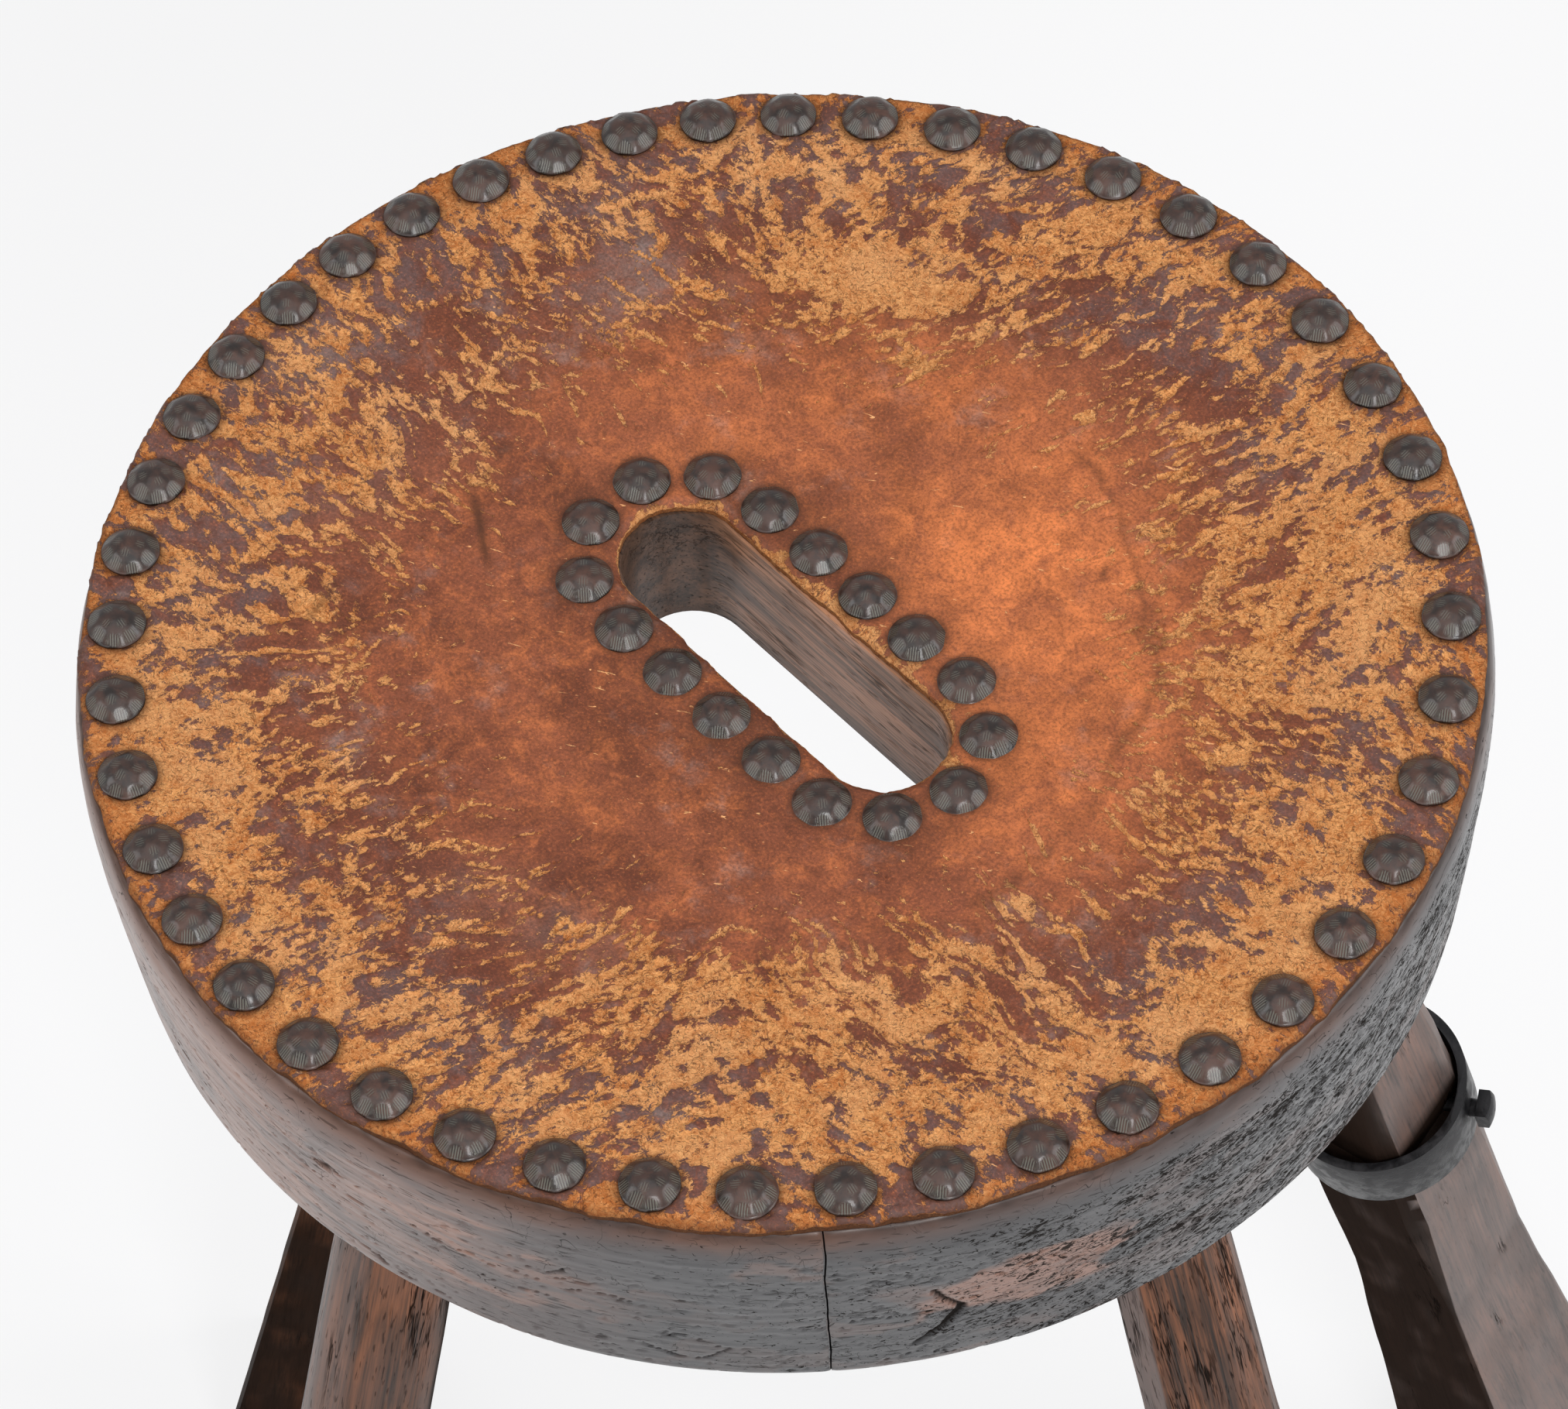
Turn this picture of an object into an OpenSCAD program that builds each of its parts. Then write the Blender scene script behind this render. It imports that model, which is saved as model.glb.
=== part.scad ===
// A round stool on four splayed legs. The dished seat board sits inside a bent
// rim band and is covered with leather, which large hammered nails hold down
// round the rim and round a hand slot. Each leg carries an iron collar that a
// square-headed bolt pins to the wood.

/* [Seat] */
// Height of the leather's flat rim above the floor
stool_h = 720; // [640:5:800]
// Radius of the leather cover
leather_r = 150; // [146:0.5:152]
// Thickness of the leather
leather_t = 3.5; // [2.5:0.5:4.5]
// Depth of the hollow at the middle of the seat
dish_depth = 8.5; // [4:0.5:12]
// Radius at which the hollow begins
dish_edge_r = 136; // [120:1:140]
// Depth of the board's underside below the leather's rim
board_depth = 46.5; // [40:0.5:52]
// Radius of the board, inside the rim band
board_r = 131.9; // [130:0.1:132]

/* [Rim band] */
// Greatest radius of the rim band
band_r = 151.5; // [150:0.5:154]
// Radius of the band's outside at its lower edge
band_foot_r = 148; // [145:0.5:151]
// Depth of the band's lower edge below the leather's rim
band_depth = 63.5; // [54:0.5:70]
// Height of the worn round at the band's top edge
band_lip_h = 9.5; // [4:0.5:14]
// Radius of the round at the band's lower edge
band_foot_round = 3; // [1:0.5:5]
// Direction in which the band's two ends meet
seam_angle = -38.5; // [-180:0.5:180]
// Gap between the band's two ends
seam_gap = 0.3; // [0.3:0.1:1.5]

/* [Hand slot] */
// Length of the hand slot, end to end
slot_len = 92; // [80:1:100]
// Width of the hand slot
slot_w = 27; // [22:1:30]

/* [Nails] */
// Number of nails round the rim
rim_nail_count = 45; // [30:1:50]
// Radius of the ring of rim nails
rim_nail_ring_r = 141.8; // [140:0.2:143]
// Number of nails round the hand slot
slot_nail_count = 17; // [12:1:18]
// Distance of the slot nails from the edge of the slot
slot_nail_inset = 8.5; // [7.5:0.5:12]
// Diameter of a nail's head
nail_head_d = 12.7; // [10:0.1:14]
// Height of a nail's head
nail_head_h = 3.4; // [2:0.1:4.5]
// Length of a nail's shank below the head
nail_shank_l = 18; // [12:1:24]

/* [Legs] */
// Distance of each leg's axis from the middle, at the board's underside
leg_ring_r = 100; // [90:1:112]
// Angle between each leg's axis and the vertical
leg_splay = 15.2; // [8:0.1:18]
// How far each leg's place is off its quarter of the seat, starting from the +X leg
leg_shifts = [1, -1, -3, 0]; // [-5:0.5:5]
// Turn of each leg's faces about its own axis
leg_turns = [-37, 12, 37, 55]; // [-60:1:60]
// Width across a leg's faces at the board, at the collar and at the foot
leg_sides = [24, 36, 56]; // [22:0.5:60]
// Diameter of the round tenon through the board
tenon_d = 21; // [16:0.5:23]
// Thickness of the wedge at its upper end
wedge_t = 4; // [3:0.5:5]

/* [Collars] */
// Distance of a collar's middle below the board, along the leg
collar_drop = 362; // [300:1:400]
// Outside diameter of a collar
collar_d = 52; // [50:0.5:54]
// Wall of a collar
collar_wall = 2.5; // [2:0.1:2.8]
// Height of a collar
collar_h = 22; // [16:1:28]
// Diameter of a collar bolt's shank
bolt_d = 5; // [4:0.5:6]
// Width of a collar bolt's square head
bolt_head_w = 8; // [7:0.5:10]
// Direction of a collar bolt, measured from the leg's outward side
bolt_angle = -54; // [-80:1:80]

/* [Hidden] */
$fn = 64;

wood_grey = [0.45, 0.39, 0.35];
wood_brown = [0.35, 0.27, 0.22];
hide_tan = [0.58, 0.33, 0.22];
iron_dark = [0.20, 0.18, 0.17];

// The right, back, left and front legs stand about a quarter turn apart
RIGHT = 0;
BACK = 1;
LEFT = 2;
FRONT = 3;
function leg_azimuth(k) = 90 * k + leg_shifts[k];

// Seat levels, measured from the floor
wood_top = stool_h - leather_t;
board_bottom = stool_h - board_depth;
band_bottom = stool_h - band_depth;
band_bore_r = board_r + 0.1;
lip_r = leather_r - 0.8;

// The hollow is a cap of this sphere, whose centre stands above the seat
dish_r = (dish_edge_r * dish_edge_r + dish_depth * dish_depth) / (2 * dish_depth);
dish_centre_z = stool_h - dish_depth + dish_r;
dish_facets = 360;
function dish_z(r) = dish_centre_z - sqrt(dish_r * dish_r - r * r);

// Joints of fixed pieces have this gap all round
glue_gap = 0.05;
cut = 1;

// A hand-spaced ring of nails: even steps with a slow drift of a few degrees
nail_step = 360 / rim_nail_count;
nail_start = 53.9;
nail_drift = [3.6, 1.4];
nail_drift_phase = [43, -14.5];
golden_turn = 137.5;
function rim_nail_angle(i) = nail_start + i * nail_step
    + nail_drift[0] * sin(i * nail_step + nail_drift_phase[0])
    + nail_drift[1] * sin(2 * i * nail_step + nail_drift_phase[1]);

// The slot nails follow a path with straight sides and half-round ends
slot_half_run = (slot_len - slot_w) / 2;
slot_path_r = slot_w / 2 + slot_nail_inset;
slot_end_l = PI * slot_path_r;
slot_path_l = 4 * slot_half_run + 2 * slot_end_l;
slot_nail_start = 14;
function slot_path(s) =
    let (u = s % slot_path_l)
    u < 2 * slot_half_run ? [slot_half_run - u, slot_path_r]
    : u < 2 * slot_half_run + slot_end_l
        ? let (a = 90 + 180 * (u - 2 * slot_half_run) / slot_end_l)
          [-slot_half_run + slot_path_r * cos(a), slot_path_r * sin(a)]
    : u < 4 * slot_half_run + slot_end_l
        ? [u - 3 * slot_half_run - slot_end_l, -slot_path_r]
    : let (a = -90 + 180 * (u - 4 * slot_half_run - slot_end_l) / slot_end_l)
      [slot_half_run + slot_path_r * cos(a), slot_path_r * sin(a)];

// Nail heads are struck to one middle facet and a ring of sloping facets
nail_facets = 7;
nail_cone_foot = 1.29;
nail_cone_top = 0.42;
nail_shank_d = 3;
nail_sink = 0.35;

// Leg sections from the board to the foot: distance below the board along the
// leg, width across the faces, and how far the corner faces lie from the axis
leg_length = board_bottom / cos(leg_splay);
collar_bore_r = collar_d / 2 - collar_wall;
corner_play = 0.9;
// The leg is left round where the collar grips it
collar_seat_h = 12;
swell_run = 28;
swell_drop = collar_drop + collar_h / 2 + swell_run;
chamfer_run = 109;
chamfer_end_drop = collar_drop + chamfer_run;
swell_side = leg_sides[1] + 2.4;
swell_corner = collar_bore_r + 0.4;
chamfer_end_side = leg_sides[1] - 0.5;
edge_break = 0.8;
neck_rise = 15;
neck_corner = 0.52;
foot_spare = 20;
function corner_limit(side) = side / sqrt(2) - edge_break;
leg_sections = [
    [-neck_rise, leg_sides[0], neck_corner * leg_sides[0]],
    [collar_drop + collar_h / 2, leg_sides[1], collar_bore_r - corner_play],
    [swell_drop, swell_side, swell_corner],
    [chamfer_end_drop, chamfer_end_side, corner_limit(chamfer_end_side)],
    [leg_length + foot_spare, leg_sides[2], corner_limit(leg_sides[2])]
];
function section_points(drop, side, corner) =
    let (h = side / 2, y = corner * sqrt(2) - side / 2)
    [for (p = [[h, -y], [h, y], [y, h], [-y, h], [-h, y], [-h, -y], [-y, -h], [y, -h]])
        [p[0], p[1], -drop]];

// The wedge spreads the tenon's top: it tapers over this length
wedge_l = 38;
wedge_tip_t = 1.5;
tenon_up = board_depth / cos(leg_splay) + 10;
wedge_top = (board_depth - leather_t) / cos(leg_splay) + 10;

// The bolt passes the collar and ends inside the leg
bolt_tip_r = 9;
bolt_head_r = collar_d / 2 + 2;
bolt_head_t = 4.5;
bolt_dome_r = 1.4 * bolt_head_w;
lap_turn = 150;
lap_w = 18;
lap_t = 1.8;

module dish(below) {
    translate([0, 0, dish_centre_z])
        sphere(r = dish_r + below, $fn = dish_facets);
}

module above_wood() {
    dish(leather_t);
    translate([0, 0, wood_top])
        cylinder(r = 2 * band_r, h = 4 * board_depth);
}

module slot_hole(grow) {
    translate([0, 0, band_bottom])
        linear_extrude(2 * band_depth)
            slot_outline(grow);
}

module slot_outline(grow) {
    square([2 * slot_half_run, slot_w + 2 * grow], center = true);
    for (x = [-slot_half_run, slot_half_run])
        translate([x, 0])
            circle(d = slot_w + 2 * grow);
}

// Places its children on a leg's axis: z = 0 at the board, +Z up, +X outward
module on_leg(k) {
    rotate(leg_azimuth(k))
        translate([leg_ring_r, 0, board_bottom])
            rotate([0, -leg_splay, 0])
                children();
}

// Points its children outward along a collar bolt, with the leg's axis at z = 0
module along_bolt() {
    translate([0, 0, -collar_drop])
        rotate(bolt_angle)
            rotate([0, 90, 0])
                children();
}

module seat_board() {
    color(wood_grey)
        difference() {
            translate([0, 0, board_bottom])
                cylinder(r = board_r, h = board_depth, $fn = 180);
            above_wood();
            slot_hole(0);
            for (k = [RIGHT:FRONT])
                on_leg(k)
                    translate([0, 0, -board_depth])
                        cylinder(d = tenon_d, h = 3 * board_depth);
        }
}

function lip_point(a) = [
    lip_r + (band_r - lip_r) * sin(a),
    wood_top - band_lip_h * (1 - cos(a))
];
function foot_point(a) = [
    band_foot_r - band_foot_round * (1 - cos(a)),
    band_bottom + band_foot_round * (1 - sin(a))
];

module band_profile() {
    polygon(concat(
        [[band_bore_r, band_bottom], [band_bore_r, wood_top]],
        [for (a = [0:15:90]) lip_point(a)],
        [for (a = [0:22.5:90]) foot_point(a)]
    ));
}

module rim_band() {
    color(wood_grey)
        difference() {
            rotate_extrude($fn = 180)
                band_profile();
            dish(leather_t);
            rotate(seam_angle)
                translate([0, -seam_gap / 2, band_bottom - cut])
                    cube([2 * band_r, seam_gap, band_depth + 2 * cut]);
        }
}

module leather_cover() {
    low = wood_top - dish_depth - cut;
    color(hide_tan)
        difference() {
            translate([0, 0, low])
                cylinder(r = leather_r, h = stool_h - low, $fn = 180);
            dish(0);
            difference() {
                translate([0, 0, low - cut])
                    cylinder(r = 2 * leather_r, h = wood_top - low + cut, $fn = 180);
                dish(leather_t);
            }
            slot_hole(0.5);
        }
}

module hammered_nail() {
    intersection() {
        cylinder(d = nail_head_d, h = nail_head_h, $fn = 32);
        cylinder(d1 = nail_head_d * nail_cone_foot, d2 = nail_head_d * nail_cone_top,
                 h = nail_head_h, $fn = nail_facets);
    }
    translate([0, 0, -nail_shank_l])
        cylinder(d = nail_shank_d, h = nail_shank_l + cut, $fn = 4);
}

module rim_nails() {
    color(iron_dark)
        for (i = [0:rim_nail_count - 1])
            rotate(rim_nail_angle(i))
                translate([rim_nail_ring_r, 0, stool_h])
                    rotate(golden_turn * i)
                        hammered_nail();
}

module slot_nails() {
    color(iron_dark)
        for (i = [0:slot_nail_count - 1]) {
            p = slot_path(slot_nail_start + i * slot_path_l / slot_nail_count);
            translate([p[0], p[1], dish_z(norm(p)) - nail_sink])
                rotate(golden_turn * i)
                    hammered_nail();
        }
}

module leg_blank() {
    rings = len(leg_sections);
    points = [for (s = leg_sections) each section_points(s[0], s[1], s[2])];
    top = [for (j = [7:-1:0]) j];
    bottom = [for (j = [0:7]) 8 * (rings - 1) + j];
    walls = [
        for (i = [0:rings - 2], j = [0:7])
            let (a = 8 * i + j, b = 8 * i + (j + 1) % 8)
            each [[a, b, b + 8], [a, b + 8, a + 8]]
    ];
    polyhedron(points, concat([top, bottom], walls), convexity = 4);
}

module wedge_blank(gap) {
    rotate([90, 0, 0])
        linear_extrude(tenon_d + 2 * gap, center = true)
            polygon([
                [-wedge_t / 2 - gap, wedge_top],
                [wedge_t / 2 + gap, wedge_top],
                [wedge_tip_t / 2 + gap, wedge_top - wedge_l - gap],
                [-wedge_tip_t / 2 - gap, wedge_top - wedge_l - gap]
            ]);
}

module leg(k) {
    color(wood_brown)
        difference() {
            union() {
                intersection() {
                    on_leg(k)
                        rotate(leg_turns[k])
                            leg_blank();
                    cylinder(r = 4 * band_r, h = board_bottom - glue_gap);
                }
                on_leg(k)
                    translate([0, 0, -collar_drop - collar_h / 2])
                        cylinder(r = collar_bore_r - glue_gap, h = collar_seat_h);
                on_leg(k)
                    translate([0, 0, -board_depth])
                        cylinder(d = tenon_d - 2 * glue_gap, h = board_depth + tenon_up);
            }
            above_wood();
            on_leg(k)
                wedge_blank(glue_gap);
            on_leg(k)
                along_bolt()
                    translate([0, 0, bolt_tip_r - cut])
                        cylinder(d = bolt_d + 2 * glue_gap, h = collar_d);
        }
}

module leg_wedge(k) {
    color(wood_grey)
        difference() {
            intersection() {
                on_leg(k)
                    wedge_blank(0);
                on_leg(k)
                    cylinder(d = tenon_d - 2 * glue_gap, h = tenon_up);
            }
            above_wood();
        }
}

// A hoop bent round the leg, with its lapped ends on the inner side
module collar(k) {
    color(iron_dark)
        on_leg(k)
            difference() {
                translate([0, 0, -collar_drop]) {
                    cylinder(d = collar_d, h = collar_h, center = true);
                    rotate(lap_turn)
                        intersection() {
                            cylinder(d = collar_d + 2 * lap_t, h = collar_h, center = true);
                            translate([collar_d / 2, 0, 0])
                                cube([collar_d, lap_w, collar_h], center = true);
                        }
                }
                translate([0, 0, -collar_drop])
                    cylinder(r = collar_bore_r, h = collar_h + 2 * cut, center = true);
                along_bolt()
                    cylinder(d = bolt_d + 2 * glue_gap, h = collar_d);
            }
}

module collar_bolt(k) {
    color(iron_dark)
        on_leg(k)
            along_bolt() {
                translate([0, 0, bolt_tip_r])
                    cylinder(d = bolt_d, h = bolt_head_r - bolt_tip_r + cut);
                intersection() {
                    translate([-bolt_head_w / 2, -bolt_head_w / 2, bolt_head_r])
                        cube([bolt_head_w, bolt_head_w, bolt_head_t]);
                    translate([0, 0, bolt_head_r + bolt_head_t - bolt_dome_r])
                        sphere(r = bolt_dome_r);
                }
            }
}

module leg_right() { leg(RIGHT); }
module leg_back() { leg(BACK); }
module leg_left() { leg(LEFT); }
module leg_front() { leg(FRONT); }
module leg_wedge_right() { leg_wedge(RIGHT); }
module leg_wedge_back() { leg_wedge(BACK); }
module leg_wedge_left() { leg_wedge(LEFT); }
module leg_wedge_front() { leg_wedge(FRONT); }
module collar_right() { collar(RIGHT); }
module collar_back() { collar(BACK); }
module collar_left() { collar(LEFT); }
module collar_front() { collar(FRONT); }
module collar_bolt_right() { collar_bolt(RIGHT); }
module collar_bolt_back() { collar_bolt(BACK); }
module collar_bolt_left() { collar_bolt(LEFT); }
module collar_bolt_front() { collar_bolt(FRONT); }

seat_board();
rim_band();
leather_cover();
rim_nails();
slot_nails();
leg_right();
leg_back();
leg_left();
leg_front();
leg_wedge_right();
leg_wedge_back();
leg_wedge_left();
leg_wedge_front();
collar_right();
collar_back();
collar_left();
collar_front();
collar_bolt_right();
collar_bolt_back();
collar_bolt_left();
collar_bolt_front();
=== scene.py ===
"""The looks of a tall round stool.

A scuffed leather cover lies in a dished seat, held by hammered nails round the rim and
round a hand slot. A bent rim band goes round the seat, and four splayed, hand-shaved legs
carry an iron collar each.
"""
import logging
import math
from dataclasses import dataclass, field, replace
from enum import Enum, IntEnum
from typing import Callable, Sequence

import bmesh
import bpy
import numpy as np
from mathutils import Matrix, Vector


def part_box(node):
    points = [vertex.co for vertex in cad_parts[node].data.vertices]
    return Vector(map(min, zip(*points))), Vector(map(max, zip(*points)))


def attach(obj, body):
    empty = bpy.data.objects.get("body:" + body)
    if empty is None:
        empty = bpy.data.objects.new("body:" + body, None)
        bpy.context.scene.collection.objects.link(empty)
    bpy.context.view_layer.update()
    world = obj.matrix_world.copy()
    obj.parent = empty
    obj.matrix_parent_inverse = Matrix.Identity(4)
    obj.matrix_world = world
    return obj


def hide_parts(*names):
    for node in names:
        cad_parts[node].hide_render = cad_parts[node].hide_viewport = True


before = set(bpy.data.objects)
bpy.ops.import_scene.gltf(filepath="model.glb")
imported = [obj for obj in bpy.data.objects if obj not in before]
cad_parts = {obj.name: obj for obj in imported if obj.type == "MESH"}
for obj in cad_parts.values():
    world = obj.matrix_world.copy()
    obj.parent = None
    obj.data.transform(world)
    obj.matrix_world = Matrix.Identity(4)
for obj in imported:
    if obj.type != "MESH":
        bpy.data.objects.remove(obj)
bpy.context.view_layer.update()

LOG = logging.getLogger("stool")
MM = 0.001
BODY = "root"
UP = Vector((0.0, 0.0, 1.0))
# Directions of the leather's tears, in degrees: beyond the slot's ends, then before and behind it
TEAR_TURNS = (8.0, 80.0)
# Half the span of wear, about zero, over which the leather's face gives way to suede
TEAR_EDGE = 0.06
FLOAT = "NodeSocketFloat"
VECTOR = "NodeSocketVector"
# The middle of a shader's noise
NOISE_MIDDLE = 0.5
# Dryness of wood that is neither well waxed nor parched
EVEN_DRY = 0.45

Colour = tuple[float, float, float, float]
Socket = bpy.types.NodeSocket
Value = Socket | float
Paint = Socket | Colour


class Slot(Enum):
    """The material slots."""

    SEAT_WOOD = "seat_wood"
    LEG_WOOD = "leg_wood"
    HIDE = "hide"
    NAIL_IRON = "nail_iron"
    COLLAR_IRON = "collar_iron"


class Side(Enum):
    """The four legs, by where they stand."""

    RIGHT = "right"
    BACK = "back"
    LEFT = "left"
    FRONT = "front"

    @property
    def number(self) -> int:
        """The leg's place in the order, from 0."""
        return list(Side).index(self)


class Seed(IntEnum):
    """Seeds of the marks that are spread by chance, so that each run gives the same ones."""

    HIDE_EDGE = 3
    RIM_NAILS = 5
    SLOT_NAILS = 6
    TEAR_BROAD = 11
    TEAR_FINE = 12
    TEAR_BEND = 13
    TEAR_NICK = 14
    HIDE_NAP = 21
    HIDE_SWELL = 22
    HIDE_CLOUD = 31
    SLOT_FRAY = 32
    SPARED_EDGE = 33
    SEAM_SWAY = 40
    PIT_DRIFT = 41
    PIT_FINE = 42
    PIT_CLUMP = 43
    BAND_DENTS = 44
    BAND_RIPPLE = 45
    BAND_RUBS = 46
    CRACK_SWAY = 47
    CRACK_RIDGE = 48
    CRACK_PLACES = 49
    NICK_RIDGE = 50
    NICK_PLACES = 51
    RUB_BEND = 52
    BAND_BEAD = 53
    LEG_WAVES = 60
    LEG_RUBS = 70


def rgb(red: float, green: float, blue: float) -> Colour:
    """A linear colour with full alpha."""
    return (red, green, blue, 1.0)


def smoothstep(low: float, high: float, value: np.ndarray) -> np.ndarray:
    """Eases value from 0 at low to 1 at high."""
    t = np.clip((value - low) / (high - low), 0.0, 1.0)
    return t * t * (3.0 - 2.0 * t)


def direction(azimuth: float, elevation: float) -> Vector:
    """The unit vector toward an azimuth and an elevation in degrees."""
    turn, lift = math.radians(azimuth), math.radians(elevation)
    return Vector((math.cos(turn) * math.cos(lift), math.sin(turn) * math.cos(lift), math.sin(lift)))


class Noise:
    """Seeded gradient noise on a plane, from about -1 to 1."""

    CELLS = 256
    GAIN = 1.5
    # How far each layer is moved from the one before, in cells
    SHIFT = (17.3, -9.1)

    def __init__(self, seed: int) -> None:
        """Draws the order of the cells and their slopes.

        Args:
            seed: Seed of the draw.
        """
        rng = np.random.default_rng(int(seed))
        self.order = np.tile(rng.permutation(self.CELLS), 2)
        turn = rng.uniform(0.0, 2.0 * math.pi, self.CELLS)
        self.slope_x = np.cos(turn)
        self.slope_y = np.sin(turn)

    def at(self, x: np.ndarray, y: np.ndarray) -> np.ndarray:
        """One layer of noise.

        Args:
            x: First coordinates, one cell per unit.
            y: Second coordinates.

        Returns:
            The noise at each point.
        """
        x0 = np.floor(x).astype(int)
        y0 = np.floor(y).astype(int)
        fx, fy = x - x0, y - y0
        u = fx * fx * fx * (fx * (fx * 6.0 - 15.0) + 10.0)
        v = fy * fy * fy * (fy * (fy * 6.0 - 15.0) + 10.0)
        total = np.zeros_like(fx)
        for dx, wx in ((0, 1.0 - u), (1, u)):
            for dy, wy in ((0, 1.0 - v), (1, v)):
                cell = self.order[self.order[(x0 + dx) % self.CELLS] + (y0 + dy) % self.CELLS]
                total += wx * wy * (self.slope_x[cell] * (fx - dx) + self.slope_y[cell] * (fy - dy))
        return self.GAIN * total

    def layered(self, x: np.ndarray, y: np.ndarray, layers: int, gain: float = 0.5) -> np.ndarray:
        """Several layers, each at twice the scale of the one before.

        Args:
            x: First coordinates.
            y: Second coordinates.
            layers: Number of layers.
            gain: Strength of each layer against the one before.

        Returns:
            The summed noise at each point.
        """
        total = np.zeros_like(x)
        strength = 1.0
        for layer in range(layers):
            step = 2.0 ** layer
            total += strength * self.at(x * step + self.SHIFT[0] * layer, y * step + self.SHIFT[1] * layer)
            strength *= gain
        return total


def grid_faces(rows: int, columns: int, tube: bool = False) -> np.ndarray:
    """Quads between neighbouring rows of a grid of points whose rows close on themselves.

    Args:
        rows: Number of rows of points.
        columns: Number of points in a row.
        tube: Whether the last row also joins the first.

    Returns:
        Four point numbers for each face.
    """
    row = np.arange(rows if tube else rows - 1)[:, None] * columns
    following = (row + columns) % (rows * columns)
    column = np.arange(columns)[None, :]
    after = (column + 1) % columns
    quads = np.stack([row + column, row + after, following + after, following + column], -1)
    return quads.reshape(-1, 4)


def link_object(name: str, data: bpy.types.ID) -> bpy.types.Object:
    """Makes an object and puts it in the scene.

    Args:
        name: The object's name.
        data: Its mesh, lamp or camera.

    Returns:
        The object.
    """
    piece = bpy.data.objects.new(name, data)
    bpy.context.scene.collection.objects.link(piece)
    return piece


def new_piece(name: str, points: np.ndarray, faces: Sequence[Sequence[int]]) -> bpy.types.Object:
    """Makes a smooth-shaded mesh object.

    Args:
        name: The object's name.
        points: Its points, in metres.
        faces: Point numbers of each face.

    Returns:
        The linked object.
    """
    mesh = bpy.data.meshes.new(name)
    mesh.from_pydata(points.tolist(), [], [list(map(int, face)) for face in faces])
    mesh.update()
    mesh.shade_smooth()
    return link_object(name, mesh)


def set_value(piece: bpy.types.Object, name: str, values: np.ndarray) -> None:
    """Stores one number per point under a name that a material can read."""
    layer = piece.data.attributes.new(name, "FLOAT", "POINT")
    layer.data.foreach_set("value", np.asarray(values, np.float32).ravel())


def set_vector(piece: bpy.types.Object, name: str, values: np.ndarray) -> None:
    """Stores one vector per point under a name that a material can read."""
    layer = piece.data.attributes.new(name, "FLOAT_VECTOR", "POINT")
    layer.data.foreach_set("vector", np.asarray(values, np.float32).ravel())


def node_points(node: str) -> np.ndarray:
    """The points of a CAD node, in metres."""
    return np.array([vert.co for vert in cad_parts[node].data.vertices])


def open_solid(node: str, merge: float, flat: float = 0.0) -> bmesh.types.BMesh:
    """Opens a CAD node's mesh for editing.

    Args:
        node: The node's name.
        merge: Distance within which points become one, in metres.
        flat: Angle below which an edge is taken out, in degrees, or 0 to keep every edge.

    Returns:
        The open mesh.
    """
    book = bmesh.new()
    book.from_mesh(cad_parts[node].data)
    bmesh.ops.remove_doubles(book, verts=book.verts, dist=merge)
    if flat:
        bmesh.ops.dissolve_limit(book, angle_limit=math.radians(flat), verts=book.verts, edges=book.edges)
    return book


def close_solid(book: bmesh.types.BMesh, name: str, sharp: float) -> bpy.types.Object:
    """Turns an open mesh into an object.

    Args:
        book: The open mesh, which is freed.
        name: The object's name.
        sharp: Angle above which an edge is shaded sharp, in degrees.

    Returns:
        The linked object.
    """
    mesh = bpy.data.meshes.new(name)
    book.to_mesh(mesh)
    book.free()
    mesh.shade_smooth()
    mesh.set_sharp_from_angle(angle=math.radians(sharp))
    return link_object(name, mesh)


def sharp_edges(book: bmesh.types.BMesh, angle: float) -> list[bmesh.types.BMEdge]:
    """The edges at which two faces meet at more than an angle in degrees."""
    limit = math.radians(angle)
    return [edge for edge in book.edges if len(edge.link_faces) == 2 and edge.calc_face_angle() > limit]


def islands(node: str) -> list[np.ndarray]:
    """Splits a CAD node's points into its separate solids.

    Args:
        node: The name of a node that holds several solids.

    Returns:
        The points of each solid, in metres, in order of their direction from the middle.
    """
    book = open_solid(node, 0.01 * MM)
    left = set(book.verts)
    groups = []
    while left:
        front = [left.pop()]
        group = []
        while front:
            vert = front.pop()
            group.append(vert.co[:])
            for edge in vert.link_edges:
                other = edge.other_vert(vert)
                if other in left:
                    left.remove(other)
                    front.append(other)
        groups.append(np.array(group))
    book.free()
    groups.sort(key=lambda g: math.atan2(g[:, 1].mean(), g[:, 0].mean()))
    return groups


@dataclass(frozen=True)
class Layer:
    """A layer of noise in a finish.

    With a size, its marks are about that long, wide and deep, in metres, and turned about Z
    by so many degrees. Without one, scale is the number of marks in a metre.
    """

    scale: float = 1.0
    detail: float = 4.0
    rough: float = 0.55
    bend: float = 0.0
    size: tuple[float, float, float] | None = None
    turn: float = 0.0


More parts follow.
